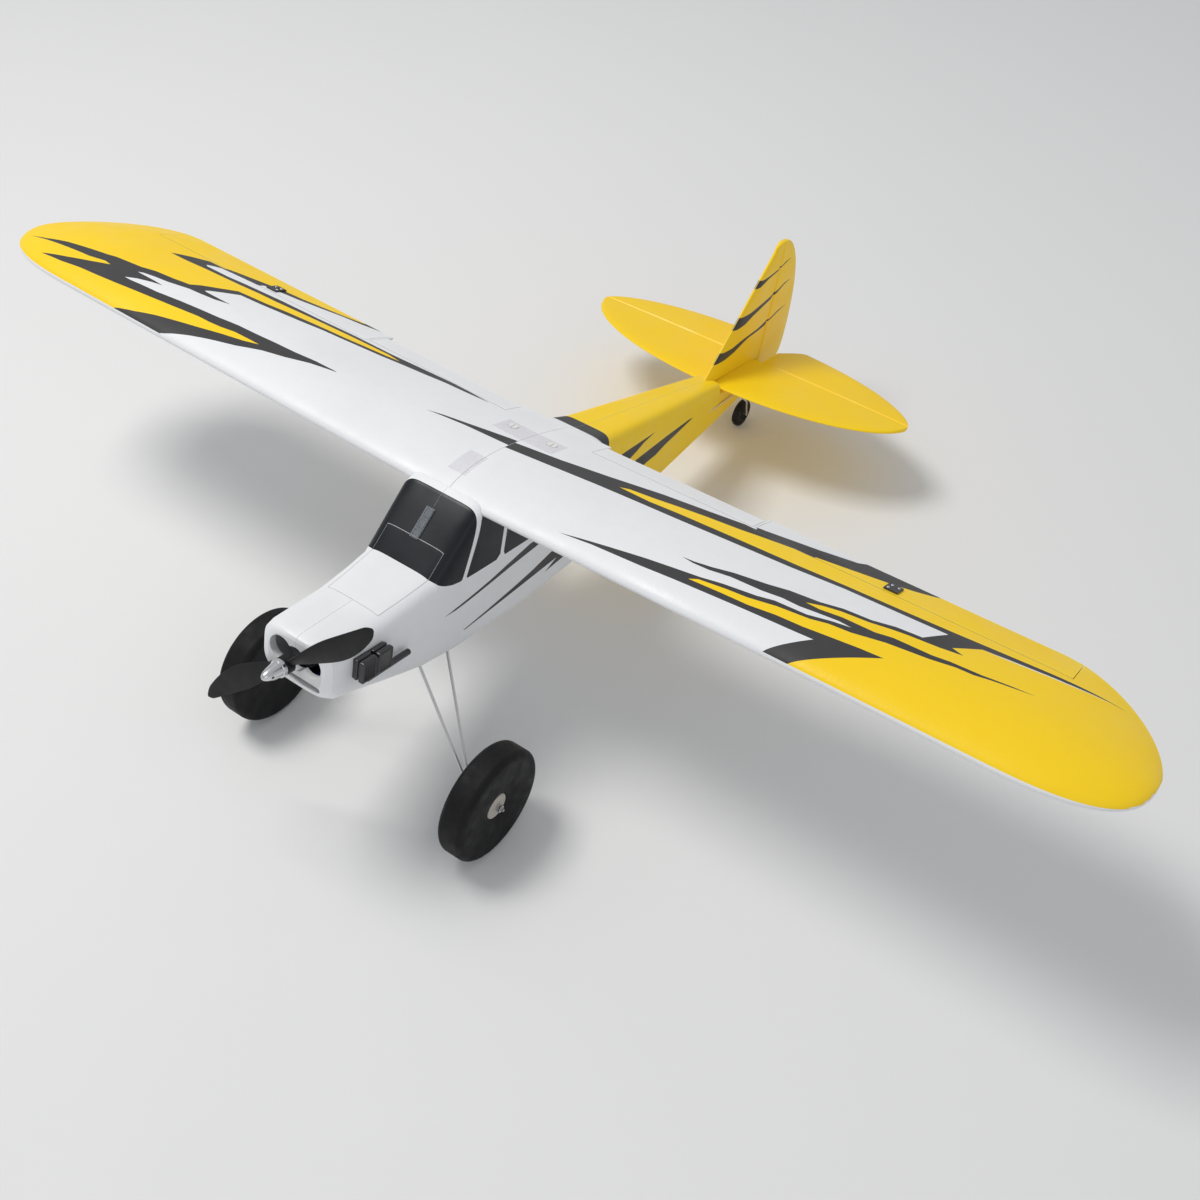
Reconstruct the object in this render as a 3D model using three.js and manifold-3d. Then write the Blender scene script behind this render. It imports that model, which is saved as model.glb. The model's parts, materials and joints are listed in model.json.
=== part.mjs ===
// A 1.3 m high-wing foam tail-dragger, built level round the wing's leading edge and then set on its wheels.
import * as THREE from 'three';
import { mergeVertices } from 'three/addons/utils/BufferGeometryUtils.js';
import Module from 'manifold-3d';

const wasm = await Module();
wasm.setup();

// ---------------------------------------------------------------- driving dimensions, mm and radians
const GAP = 0.35;                 // clearance between neighbouring parts
const PITCH = 0.2217;             // nose-up attitude on the wheels
const SPAN = 1300;
const CHORD = 197;
const DIHEDRAL = 0.02;            // rise per mm of span
const CAMBER = 0.035;
const THICKNESS = 0.13;
const TIP = { lead: 523, trail: 538, y: 84, leadPower: 2.77, trailPower: 1.63 };
const AILERON = { x0: 240, x1: 552, hinge: 154, bevel: 24 };
const FLAP = { x0: 54, x1: 237, hinge: 160, bevel: 36, trail: 188.5 };
const STAB = { z: -50, half: 221, lead: 510, widest: 612, trail: 694, hinge: 613, thick: 8 };
const NOTCH = { x0: 17, x1: 43, y0: 656, y1: 693 };
const FIN = {
  hinge: 624, top: 106.4, foot: -45.6, bottom: -86, thick: 8, root: 490, sweep: 0.82, brow: 96, crown: 625,
  widest: 698, widestZ: -35,
};
const AXIS_Z = -88;               // propeller shaft height
const PROP = { y: -199, radius: 127, hub: 8.5, thick: 8 };
const WHEEL = { x: 141.5, y: -69.6, z: -243.4, radius: 60, width: 29.4, hub: 13.6, bore: 1.9 };
const WIRE = 1.5;                 // undercarriage wire radius
const TAIL_WHEEL = { y: 627, z: -129.36, radius: 18, width: 10, steer: 608 };
const JOINER = { y: 60, z: 6.5, half: 170, radius: 4 };
const BOLT = { x: 24, y: 132, radius: 2 };
const TRAY = { z: -121, thick: 3, y0: -126, y1: 130 };
const HATCH = { y0: -118, y1: -38, front: 29, back: 33 };
const INTAKE = { x: 17, z: -86, radius: 12.8 };
const LATCH = { y: -28, z: -18.9, width: 13, length: 34 };
const HORN_X = 380;
const ROD = 0.9;

const COLOURS = {
  white: 0xf2f2f0, yellow: 0xf7cf22, black: 0x17171a, clear: 0xcfd6d8, steel: 0xb9bcc0,
  aluminium: 0xd0d2d4, nylon: 0xefefe8, blue: 0x1f3fae, rubber: 0x111113, grey: 0xb8b0a8,
  servo: 0x22304a, ply: 0xc9a876, carbon: 0x202022,
};

// ---------------------------------------------------------------- solids
function solid(geometry) {
  const bare = geometry.clone();
  bare.deleteAttribute('normal');
  bare.deleteAttribute('uv');
  const merged = mergeVertices(bare, 1e-4);
  const at = merged.attributes.position;
  const index = merged.index.array;
  const a = new THREE.Vector3();
  const b = new THREE.Vector3();
  const c = new THREE.Vector3();
  const kept = [];
  let volume = 0;
  for (let i = 0; i < index.length; i += 3) {
    const [p, q, r] = [index[i], index[i + 1], index[i + 2]];
    if (p === q || q === r || r === p) continue;
    a.fromBufferAttribute(at, p);
    b.fromBufferAttribute(at, q);
    c.fromBufferAttribute(at, r);
    volume += a.dot(b.cross(c));
    kept.push(p, q, r);
  }
  if (volume < 0) kept.reverse();
  return new wasm.Manifold(new wasm.Mesh({
    numProp: 3,
    vertProperties: new Float32Array(at.array),
    triVerts: new Uint32Array(kept),
  }));
}

function union(...parts) {
  return parts.reduce((sum, part) => sum.add(part));
}

// Rings of equal length become the skin of a closed body; each end is capped by a zigzag strip.
function loft(rings) {
  const n = rings[0].length;
  const points = rings.flat();
  const index = [];
  for (let i = 0; i + 1 < rings.length; i += 1) {
    for (let j = 0; j < n; j += 1) {
      const a = i * n + j;
      const b = i * n + (j + 1) % n;
      index.push(a, b, b + n, a, b + n, a + n);
    }
  }
  for (const [base, turn] of [[0, false], [(rings.length - 1) * n, true]]) {
    for (let lo = 0, hi = n - 1; lo + 1 < hi; lo += 1, hi -= 1) {
      const tris = [[lo, hi, lo + 1], [lo + 1, hi, hi - 1]];
      for (const [a, b, c] of tris) {
        if (b === c || a === c) continue;
        index.push(base + a, base + (turn ? c : b), base + (turn ? b : c));
      }
    }
  }
  const geometry = new THREE.BufferGeometry().setFromPoints(points);
  geometry.setIndex(index);
  return solid(geometry);
}

function box(x0, x1, y0, y1, z0, z1) {
  const geometry = new THREE.BoxGeometry(x1 - x0, y1 - y0, z1 - z0);
  return solid(geometry.translate((x0 + x1) / 2, (y0 + y1) / 2, (z0 + z1) / 2));
}

// A cylinder between two points, closed, with optional second radius.
function rod(from, to, radius, sides = 16, radius2 = radius) {
  const a = new THREE.Vector3(...from);
  const b = new THREE.Vector3(...to);
  const geometry = new THREE.CylinderGeometry(radius2, radius, a.distanceTo(b), sides);
  const turn = new THREE.Quaternion().setFromUnitVectors(
    new THREE.Vector3(0, 1, 0), b.clone().sub(a).normalize());
  geometry.applyQuaternion(turn);
  const mid = a.add(b).multiplyScalar(0.5);
  return solid(geometry.translate(mid.x, mid.y, mid.z));
}

function shapeOf(outline) {
  return new THREE.Shape(outline.map(([u, v]) => new THREE.Vector2(u, v)));
}

// Outline in plan, x and y, raised from z0 to z1.
function plan(outline, z0, z1) {
  const geometry = new THREE.ExtrudeGeometry(shapeOf(outline), { depth: z1 - z0, bevelEnabled: false });
  return solid(geometry.translate(0, 0, z0));
}

// Outline in side view, y and z, carried from x0 to x1.
function side(outline, x0, x1) {
  const geometry = new THREE.ExtrudeGeometry(shapeOf(outline), { depth: x1 - x0, bevelEnabled: false });
  geometry.applyMatrix4(new THREE.Matrix4().makeBasis(
    new THREE.Vector3(0, 1, 0), new THREE.Vector3(0, 0, 1), new THREE.Vector3(1, 0, 0)));
  return solid(geometry.translate(x0, 0, 0));
}

// A bent wire through the given points.
function wire(points, radius, sides = 8) {
  const pieces = [];
  for (let i = 0; i + 1 < points.length; i += 1) {
    pieces.push(rod(points[i], points[i + 1], radius, sides));
  }
  for (const bend of points.slice(1, -1)) {
    pieces.push(solid(new THREE.SphereGeometry(radius, sides, 4).translate(...bend)));
  }
  return union(...pieces);
}

// A profile of radius and height turned about an axis through `at` along x or y. It closes itself.
function turned(profile, at, axis, sides = 40) {
  const outline = profile[0][0] > 0 ? [...profile, profile[0]] : profile;
  const geometry = new THREE.LatheGeometry(outline.map(([r, h]) => new THREE.Vector2(r, h)), sides);
  if (axis === 'x') geometry.rotateZ(-Math.PI / 2);
  return solid(geometry.translate(...at));
}

const mirror = (part) => part.mirror([1, 0, 0]);

// ---------------------------------------------------------------- wing surfaces
function foil(u) {
  const t = 5 * THICKNESS * (0.2969 * Math.sqrt(u) - 0.126 * u - 0.3516 * u ** 2
    + 0.2843 * u ** 3 - 0.1015 * u ** 4);
  const p = 0.4;
  const m = CAMBER;
  const line = u < p ? m / p ** 2 * (2 * p * u - u * u)
    : m / (1 - p) ** 2 * (1 - 2 * p + 2 * p * u - u * u);
  return { top: line + t, bottom: line - t };
}

function wingLead(x) {
  const base = 0.004 * x;
  if (x <= TIP.lead) return base;
  const s = Math.min(1, (x - TIP.lead) / (SPAN / 2 - TIP.lead));
  return TIP.y - (TIP.y - base) * (1 - s ** TIP.leadPower) ** (1 / TIP.leadPower);
}

function wingTrail(x) {
  const base = CHORD + 0.005 * x;
  if (x <= TIP.trail) return base;
  const s = Math.min(1, (x - TIP.trail) / (SPAN / 2 - TIP.trail));
  return TIP.y + (base - TIP.y) * (1 - s ** TIP.trailPower) ** (1 / TIP.trailPower);
}

// Height of the wing's skin at a place in plan.
function wingSkin(x, y, top) {
  const lead = wingLead(x);
  const chord = wingTrail(x) - lead;
  const u = Math.min(1, Math.max(0, (y - lead) / chord));
  const blunt = 0.7 * u * (top ? 1 : -1);
  return DIHEDRAL * x + chord * (top ? foil(u).top : foil(u).bottom) + blunt;
}

const FOIL_STEPS = [1, 0.93, 0.86, 0.78, 0.68, 0.57, 0.46, 0.36, 0.27, 0.19, 0.12, 0.065, 0.025, 0.006];

function wingRing(x, grow = 0) {
  const lead = wingLead(x) - grow;
  const chord = wingTrail(x) + grow - lead;
  const ring = [];
  const place = (u, top) => {
    const y = wingLead(x) + (wingTrail(x) - wingLead(x)) * u;
    const z = wingSkin(x, y, top) + (top ? grow : -grow);
    ring.push(new THREE.Vector3(x, lead + chord * u, z));
  };
  for (const u of FOIL_STEPS) place(u, true);
  ring.push(new THREE.Vector3(x, lead, DIHEDRAL * x));
  for (const u of [...FOIL_STEPS].reverse()) place(u, false);
  return ring;
}

const WING_STATIONS = [0.2, 130, 260, 400, 520];
for (const s of [0.2, 0.38, 0.54, 0.67, 0.78, 0.87, 0.935, 0.975, 0.996]) {
  WING_STATIONS.push(TIP.lead + s * (SPAN / 2 - TIP.lead));
}

function wholeWing(grow = 0) {
  const stations = grow ? [-grow, ...WING_STATIONS.slice(1, 3)] : WING_STATIONS;
  return loft(stations.map((x) => wingRing(Math.max(x, 0), grow).map((p) => {
    p.x = x;
    return p;
  })));
}

// A hinged surface's bay and the surface itself, hinged along the top skin.
function hinged(spec, trail) {
  const top = 60;
  const slope = Math.tan(THREE.MathUtils.degToRad(spec.bevel));
  const skin = wingSkin((spec.x0 + spec.x1) / 2, spec.hinge, true);
  const bay = side([[spec.hinge - GAP, -top], [300, -top], [300, top], [spec.hinge - GAP, top]],
    spec.x0 - GAP, spec.x1 + GAP);
  const drop = skin + top;
  const lean = [1, 0, DIHEDRAL, 0, 0, 1, 0, 0, 0, 0, 1, 0, 0, 0, -DIHEDRAL * (spec.x0 + spec.x1) / 2, 1];
  const panel = side([
    [spec.hinge + GAP, top], [spec.hinge + GAP, skin], [spec.hinge + GAP + drop * slope, -top],
    [trail + 60, -top], [trail + 60, top],
  ], spec.x0 + GAP, spec.x1 - GAP).transform(lean);
  return { bay, panel };
}

const wingSolid = wholeWing();
const aileron = hinged(AILERON, CHORD);
const flap = hinged(FLAP, CHORD);
const flapTrim = box(FLAP.x0 - 1, FLAP.x1 + 1, FLAP.trail, 240, -60, 60);

// The aileron servo lies in a pocket open below, its arm in a slot beside it.
const servoTop = DIHEDRAL * HORN_X + 7;
const servoBottom = wingSkin(HORN_X, 110, false) + 0.5;
const pocket = union(
  box(HORN_X - 28 - GAP, HORN_X - 4 + GAP, 98 - GAP, 121 + GAP, -40, servoTop + GAP),
  box(HORN_X - 4, HORN_X - 0.4, 98, 126, -40, servoTop + GAP));
const joinerBore = rod([-1, JOINER.y, JOINER.z], [JOINER.half + 1, JOINER.y, JOINER.z],
  JOINER.radius + GAP, 20);
const boltTop = wingSkin(BOLT.x, BOLT.y, true);
const boltBore = union(
  rod([BOLT.x, BOLT.y, -40], [BOLT.x, BOLT.y, 40], BOLT.radius + GAP, 16),
  rod([BOLT.x, BOLT.y, boltTop - 2.5], [BOLT.x, BOLT.y, 40], 5 + GAP, 20));
const wingLeft = wingSolid.subtract(aileron.bay).subtract(flap.bay).subtract(pocket)
  .subtract(joinerBore).subtract(boltBore);
const aileronLeft = wingSolid.intersect(aileron.panel);
const flapLeft = wingSolid.intersect(flap.panel).subtract(flapTrim);

const wingJoiner = rod([-JOINER.half, JOINER.y, JOINER.z], [JOINER.half, JOINER.y, JOINER.z],
  JOINER.radius, 20);
const wingBolt = union(
  rod([BOLT.x, BOLT.y, -17], [BOLT.x, BOLT.y, boltTop], BOLT.radius, 14),
  rod([BOLT.x, BOLT.y, boltTop - 2], [BOLT.x, BOLT.y, boltTop + 0.6], 5, 20))
  .subtract(box(BOLT.x - 0.5, BOLT.x + 0.5, BOLT.y - 6, BOLT.y + 6, boltTop - 0.6, boltTop + 2));

// ---------------------------------------------------------------- aileron linkage, per wing
const linkZ = servoBottom - 7;
const servoAxisY = 110;
const aileronServo = union(
  box(HORN_X - 28, HORN_X - 5.2, 98, 121, servoBottom, servoTop),
  rod([HORN_X - 6, servoAxisY, servoBottom + 6], [HORN_X - 3.4, servoAxisY, servoBottom + 6], 2.4));
const aileronArm = side([
  [servoAxisY - 3, servoBottom + 8], [servoAxisY + 3, servoBottom + 8],
  [servoAxisY + 2, linkZ - 1.8], [servoAxisY - 2, linkZ - 1.8],
], HORN_X - 3, HORN_X - 1.6);
const hornPin = AILERON.hinge + 4;
const aileronRod = union(
  rod([HORN_X - 0.3, servoAxisY, linkZ], [HORN_X - 0.3, hornPin, linkZ], ROD, 8),
  box(HORN_X - 1.2, HORN_X + 0.6, hornPin - 9, hornPin + 2, linkZ - 1.6, linkZ + 1.6));
const hornBaseZ = wingSkin(HORN_X, hornPin + 10, false) - GAP;
const aileronHorn = union(
  box(HORN_X - 1, HORN_X + 8, hornPin + 5, hornPin + 17, hornBaseZ - 2, hornBaseZ - 0.6),
  side([[hornPin + 14, hornBaseZ - 1], [hornPin + 5, hornBaseZ - 1], [hornPin - 1.5, linkZ + 1],
    [hornPin - 1.5, linkZ - 1.8], [hornPin + 2, linkZ - 1.8]], HORN_X + 1, HORN_X + 2.6));
const plateY = 166;
const plateSlope = Math.atan2(
  wingSkin(HORN_X, plateY + 6, true) - wingSkin(HORN_X, plateY - 6, true), 12);
const plateGeometry = new THREE.BoxGeometry(14, 17, 1.4);
plateGeometry.rotateX(plateSlope);
plateGeometry.rotateY(-DIHEDRAL);
plateGeometry.translate(HORN_X, plateY, wingSkin(HORN_X, plateY, true) + 0.7 + GAP);
const hornPlate = solid(plateGeometry);

// ---------------------------------------------------------------- fuselage
// Each section: y, half width, top, bottom, squareness.
const SECTIONS = [
  [-188, 31, -70, -111, 3],
  [-187, 36, -66.5, -115, 3.2],
  [-184, 40, -64.5, -119, 3.6],
  [-176, 41.5, -63.5, -123.5, 4],
  [-150, 42, -62, -129.5, 4.2],
  [-118, 42.5, -60, -138.5, 4.4],
  [-85, 44, -55, -146, 4.8],
  [-56.5, 45, -49.4, -151, 5.5],
  [-7.5, 46, 3, -153, 8],
  [2, 46, 8, -153, 8],
  [100, 45, 8, -153, 8],
  [185, 41, 4, -150.5, 8],
  [203, 39, -2, -149, 7],
  [237, 35.5, -9, -144, 6.5],
  [392, 26, -28, -118.5, 6],
  [491, 19, -40, -104, 6],
  [506, 18, -42, -101.5, 6],
  [508, 17.9, -54.4, -101.2, 6],
  [573, 12.5, -54.4, -92, 5],
  [620, 8, -54.4, -86.5, 4],
];
const RING_SIDES = 24;

function hullRing([y, half, top, bottom, power], inset = 0) {
  const ring = [];
  const height = (top - bottom) / 2 - inset;
  const middle = (top + bottom) / 2;
  for (let i = 0; i < RING_SIDES; i += 1) {
    const a = (i + 0.5) / RING_SIDES * 2 * Math.PI;
    const c = Math.cos(a);
    const s = Math.sin(a);
    ring.push(new THREE.Vector3(
      (half - inset) * Math.sign(c) * Math.abs(c) ** (2 / power), y,
      middle + height * Math.sign(s) * Math.abs(s) ** (2 / power)));
  }
  return ring;
}

function section(y) {
  const i = Math.max(1, SECTIONS.findIndex((s) => s[0] >= y));
  const t = (y - SECTIONS[i - 1][0]) / (SECTIONS[i][0] - SECTIONS[i - 1][0]);
  return SECTIONS[i].map((value, k) => SECTIONS[i - 1][k] + (value - SECTIONS[i - 1][k]) * t);
}

const hull = loft(SECTIONS.map((s) => hullRing(s)));
const hullGrown = loft(SECTIONS.map((s) => hullRing(s, -GAP)));

// The hollow runs from behind the motor mount to the tail; under the wing it is open at the top.
const noseHollow = loft([-181, -170, -150, -118, -85, -56.5].map((y) => hullRing(section(y), 6)));
const deckHollow = loft([-56.6, -30, -7.5].map((y) => hullRing(section(y), 7)));
const cabinHollow = union(
  loft([-7.6, 12, 100, 180].map((y) => {
    const s = section(y);
    return hullRing([y, s[1], s[2] + (y > 0 ? 18 : 0), s[3], s[4]], 7);
  })),
  loft([179.9, 203, 237, 392, 478].map((y) => hullRing(section(y), 5))));
const crossbar = box(-60, 60, 120, 144, -24, 30);
const hollow = union(noseHollow, deckHollow, cabinHollow.subtract(crossbar));
const hollowShrunk = union(
  loft([-128, -118, -85, -56.5].map((y) => hullRing(section(y), 6 + GAP))),
  loft([-56.6, -30, -7.5, 12, 100, 180].map((y) => hullRing(section(y), 7 + GAP))));

// Two round air intakes, the shaft opening between them and the chin slot.
const intakes = union(
  rod([INTAKE.x, -195, INTAKE.z], [INTAKE.x, -165, INTAKE.z], INTAKE.radius, 28),
  rod([-INTAKE.x, -195, INTAKE.z], [-INTAKE.x, -165, INTAKE.z], INTAKE.radius, 28),
  rod([0, -195, AXIS_Z], [0, -165, AXIS_Z], 12, 28));
const chinSlot = union(
  box(-26, 26, -200, -165, -111.2, -104.8),
  rod([26, -200, -108], [26, -165, -108], 3.2, 14),
  rod([-26, -200, -108], [-26, -165, -108], 3.2, 14));

// The hatch is a plug through the deck and the lower windshield.
function hatchPlug(grow) {
  const outline = [
    [HATCH.front + grow, HATCH.y0 - grow], [HATCH.back + grow, -55],
    [HATCH.back + grow, HATCH.y1 + grow], [-HATCH.back - grow, HATCH.y1 + grow],
    [-HATCH.back - grow, -55], [-HATCH.front - grow, HATCH.y0 - grow],
  ];
  return plan(outline, -90, 20);
}
const deckWall = hull.subtract(noseHollow).subtract(deckHollow);
const batteryHatch = deckWall.intersect(hatchPlug(0));

const gearWire = {
  front: [[8, -50, -150.6], [27, -50, -150.6], [118, WHEEL.y, WHEEL.z + 1], [121, WHEEL.y, WHEEL.z],
    [160.5, WHEEL.y, WHEEL.z]],
  rear: [[8, -8, -151], [27, -8, -151], [106, -61, -226.5], [116, -66.8, -238.4]],
};
const gearSlot = union(
  wire(gearWire.front.slice(0, 3), WIRE + GAP), wire(gearWire.rear.slice(0, 3), WIRE + GAP));
const gearSlots = union(gearSlot, mirror(gearSlot));
const belly = box(-26 - GAP, 26 + GAP, -60 - GAP, 4 + GAP, -160, -152.6 + GAP);

const elevatorRodPath = [[23, 93, -91], [17, 621, -66]];
const rudderRodPath = [[-23, 93, -91], [-16.5, 627, -73]];
const rodExits = union(
  rod(...elevatorRodPath, ROD + 1.1, 10), rod(...rudderRodPath, ROD + 1.1, 10));
const steerBore = rod([0, TAIL_WHEEL.steer, -120], [0, TAIL_WHEEL.steer, -70], 1.2 + GAP, 14);

const strake = union(
  plan([[8, 528], [18, 600], [8, 606]], -82, -79),
  plan([[-8, 528], [-18, 600], [-8, 606]], -82, -79));
const wingSaddle = union(wholeWing(GAP), mirror(wholeWing(GAP)));
const fuselage = union(hull, strake).subtract(hollow).subtract(intakes).subtract(chinSlot)
  .subtract(hatchPlug(GAP)).subtract(wingSaddle).subtract(gearSlots).subtract(belly)
  .subtract(rodExits).subtract(steerBore)
  .subtract(rod([BOLT.x, BOLT.y, -40], [BOLT.x, BOLT.y, 20], BOLT.radius + GAP, 16))
  .subtract(rod([-BOLT.x, BOLT.y, -40], [-BOLT.x, BOLT.y, 20], BOLT.radius + GAP, 16));
const fuselageLeft = fuselage.intersect(box(0.15, 100, -300, 800, -300, 100));
const fuselageRight = fuselage.intersect(box(-100, -0.15, -300, 800, -300, 100));

// The clear catch slides up the windshield to free the hatch.
const shieldSlope = Math.atan2(52.4, 49);
const catchGeometry = new THREE.BoxGeometry(LATCH.width, LATCH.length, 1.2);
catchGeometry.rotateX(shieldSlope);
catchGeometry.translate(0, LATCH.y, LATCH.z + 0.6);
let hatchLatch = solid(catchGeometry);
for (const step of [-8, 2, 12]) {
  const rib = new THREE.BoxGeometry(9, 6, 1);
  rib.translate(0, step, 1);
  rib.rotateX(shieldSlope);
  rib.translate(0, LATCH.y, LATCH.z + 0.6);
  hatchLatch = hatchLatch.add(solid(rib));
}
hatchLatch = hatchLatch.subtract(hullGrown);

// ---------------------------------------------------------------- power train
const FIREWALL_Y = -146;
const motorMount = union(
  box(-20, 20, FIREWALL_Y, FIREWALL_Y + 3, AXIS_Z - 18, AXIS_Z + 16),
  turned([[0, -3], [12, -3], [12, 0.5], [0, 0.5]], [0, FIREWALL_Y, AXIS_Z], 'y', 28));
const motorBase = turned([[3.2, 0], [13, 0], [13, -4], [8, -5], [8, -12], [3.2, -12]],
  [0, FIREWALL_Y - 3 - GAP, AXIS_Z], 'y', 28);
const bellBack = FIREWALL_Y - 9;
const motorBell = union(
  turned([[9, 0], [14, 0], [14.5, -1], [14.5, -21], [12, -24], [0, -24], [0, -10], [9, -10]],
    [0, bellBack, AXIS_Z], 'y', 32),
  rod([0, FIREWALL_Y - 4, AXIS_Z], [0, -212, AXIS_Z], 2.5, 16));
const propNut = turned([[2.85, -5.2], [8, -5.2], [8.5, -6.2], [8.5, -9.5], [7.6, -10.5], [6.6, -16],
  [4.6, -22], [1.6, -27], [0, -27.6], [0, -14], [2.85, -14]], [0, PROP.y, AXIS_Z], 'y', 28)
  .subtract(rod([-12, PROP.y - 18, AXIS_Z], [12, PROP.y - 18, AXIS_Z], 1.2, 10));

// One twisted blade along +x, then its opposite by a half turn.
function blade() {
  const rings = [];
  for (let i = 0; i <= 13; i += 1) {
    const s = i / 13;
    const r = 5 + s * (PROP.radius - 5);
    const swell = Math.sin(Math.PI / 2 * Math.min(1, s / 0.55)) ** 1.6;
    const taper = 60 * Math.max(0, s - 0.5) ** 2;
    const chord = 10 + 13.6 * swell - taper;
    const width = s > 0.93 ? chord * Math.sqrt(Math.max(0.12, 1 - ((s - 0.93) / 0.07) ** 2)) : chord;
    const twist = Math.atan2(22, 12 + r);
    const thick = 4.2 * (1 - s) + 1.1;
    const ring = [];
    for (let k = 0; k < 12; k += 1) {
      const a = (k + 0.5) / 12 * 2 * Math.PI;
      const u = (Math.cos(a) * width + taper) / 2;
      const v = Math.sin(a) * thick / 2;
      ring.push(new THREE.Vector3(r, v * Math.cos(twist) - u * Math.sin(twist),
        u * Math.cos(twist) + v * Math.sin(twist)));
    }
    rings.push(ring);
  }
  return loft(rings);
}
const bladeOne = blade();
const PROP_PHASE = -41;
const propeller = union(bladeOne, bladeOne.rotate([0, 180, 0]),
  turned([[0, -4.8], [PROP.hub, -4.8], [PROP.hub, 4.2], [0, 4.2]], [0, 0, 0], 'y', 28))
  .rotate([0, PROP_PHASE, 0]).translate([0, PROP.y, AXIS_Z])
  .subtract(rod([0, -230, AXIS_Z], [0, -150, AXIS_Z], 2.85, 16))
  .subtract(rod([0, -230, AXIS_Z], [0, PROP.y - 4.8, AXIS_Z], 10, 20));

// Two cylinder blocks with rimmed covers on a backing plate, with a tailpipe below.
function dummyEngine() {
  const parts = [box(36, 45, -161.5, -124.5, -99, -79), box(44, 54, -147, -139, -97, -81)];
  for (const y of [-153.3, -133]) {
    parts.push(box(44, 47.6, y - 9, y + 9, -99.5, -77.8));
    parts.push(box(47.5, 49, y - 7.6, y + 7.6, -98, -79.3));
    parts.push(box(48.9, 55, y - 9.2, y + 9.2, -99.8, -77.5)
      .subtract(box(54.2, 56, y - 7.8, y + 7.8, -98.4, -78.9)));
  }
  parts.push(rod([49, -150, -102], [49, -94, -103.5], 3.1, 14));
  return union(...parts).subtract(hullGrown);
}
const engine = dummyEngine();

// ---------------------------------------------------------------- equipment inside
const trayTop = TRAY.z + TRAY.thick;
const tray = box(-40, 40, TRAY.y0, TRAY.y1, TRAY.z, trayTop).intersect(hollowShrunk);
const esc = union(
  box(-10.5, 10.5, -173.6, -150.5, -116.9, -108.6),
  box(-8, 8, -151, -149, -115.5, -110.5));
const battery = box(-17, 17, -106, -1, trayTop + 1.9, trayTop + 25);
const strap = box(-18.8, 18.8, -62, -42, trayTop + GAP, trayTop + 26.6)
  .subtract(box(-17.4, 17.4, -63, -41, trayTop + 1.5, trayTop + 25.3));
const receiver = union(
  box(-12, 12, 20, 62, trayTop + GAP, trayTop + 13),
  box(-9, 9, 18.5, 21, trayTop + 3, trayTop + 9));

function servo(x) {
  return union(
    box(x - 6, x + 6, 84, 107, trayTop + GAP, trayTop + 23),
    box(x - 6, x + 6, 79.5, 111.5, trayTop + 16, trayTop + 18),
    rod([x, 90, trayTop + 22], [x, 90, trayTop + 25.6], 2.4, 16));
}
const armZ = trayTop + 26;
function servoArm(x) {
  const tip = x + Math.sign(x) * 9.5;
  return union(
    rod([x, 90, armZ], [x, 90, armZ + 1.6], 3.4, 18),
    box(Math.min(x, tip), Math.max(x, tip), 88.2, 91.8, armZ, armZ + 1.6));
}

// ---------------------------------------------------------------- tail
function plateFoil(u, thick) {
  return thick / 2 * Math.sqrt(Math.max(0.01, 1 - Math.abs(2 * u - 1) ** 7));
}
const PLATE_STEPS = [1, 0.985, 0.94, 0.8, 0.5, 0.2, 0.06, 0.015, 0];

function plateRing(lead, trail, thick, place) {
  const ring = [];
  for (const sign of [1, -1]) {
    const steps = sign > 0 ? PLATE_STEPS : [...PLATE_STEPS].reverse();
    for (const u of steps) ring.push(place(lead + (trail - lead) * u, sign * plateFoil(u, thick)));
  }
  return ring;
}

function stabEdges(x) {
  const s = Math.min(1, Math.abs(x) / STAB.half);
  const fall = (1 - s ** 2.1) ** 0.55;
  return [STAB.widest - (STAB.widest - STAB.lead) * fall,
    STAB.widest + (STAB.trail - STAB.widest) * (1 - s ** 2.2) ** 0.6];
}
const stabPlate = loft([-0.998, -0.985, -0.95, -0.88, -0.76, -0.6, -0.4, -0.2, 0, 0.2, 0.4, 0.6, 0.76,
  0.88, 0.95, 0.985, 0.998].map((s) => {
  const x = s * STAB.half;
  const [lead, trail] = stabEdges(x);
  return plateRing(lead, trail, STAB.thick * (1 - 0.35 * Math.abs(s) ** 3),
    (y, z) => new THREE.Vector3(x, y, STAB.z + z));
}));
const stabiliser = stabPlate.subtract(box(-300, 300, STAB.hinge - GAP, 800, -80, -20));
const joinerSlot = rod([-30 - GAP, STAB.hinge + 5, STAB.z], [30 + GAP, STAB.hinge + 5, STAB.z],
  1.2 + GAP, 12);
const elevatorLeft = stabPlate.intersect(side([
  [STAB.hinge + GAP, STAB.z], [STAB.hinge + 6, STAB.z + 5.6], [760, STAB.z + 5.6],
  [760, STAB.z - 5.6], [STAB.hinge + 6, STAB.z - 5.6],
], NOTCH.x0, 300)).subtract(plan([[0, 500], [NOTCH.x0, 500], [NOTCH.x0, NOTCH.y0],
  [NOTCH.x1, NOTCH.y1], [NOTCH.x1, 760], [0, 760]], -80, -20)).subtract(joinerSlot);
const elevatorJoiner = rod([-30, STAB.hinge + 5, STAB.z], [30, STAB.hinge + 5, STAB.z], 1.2, 12);

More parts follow.
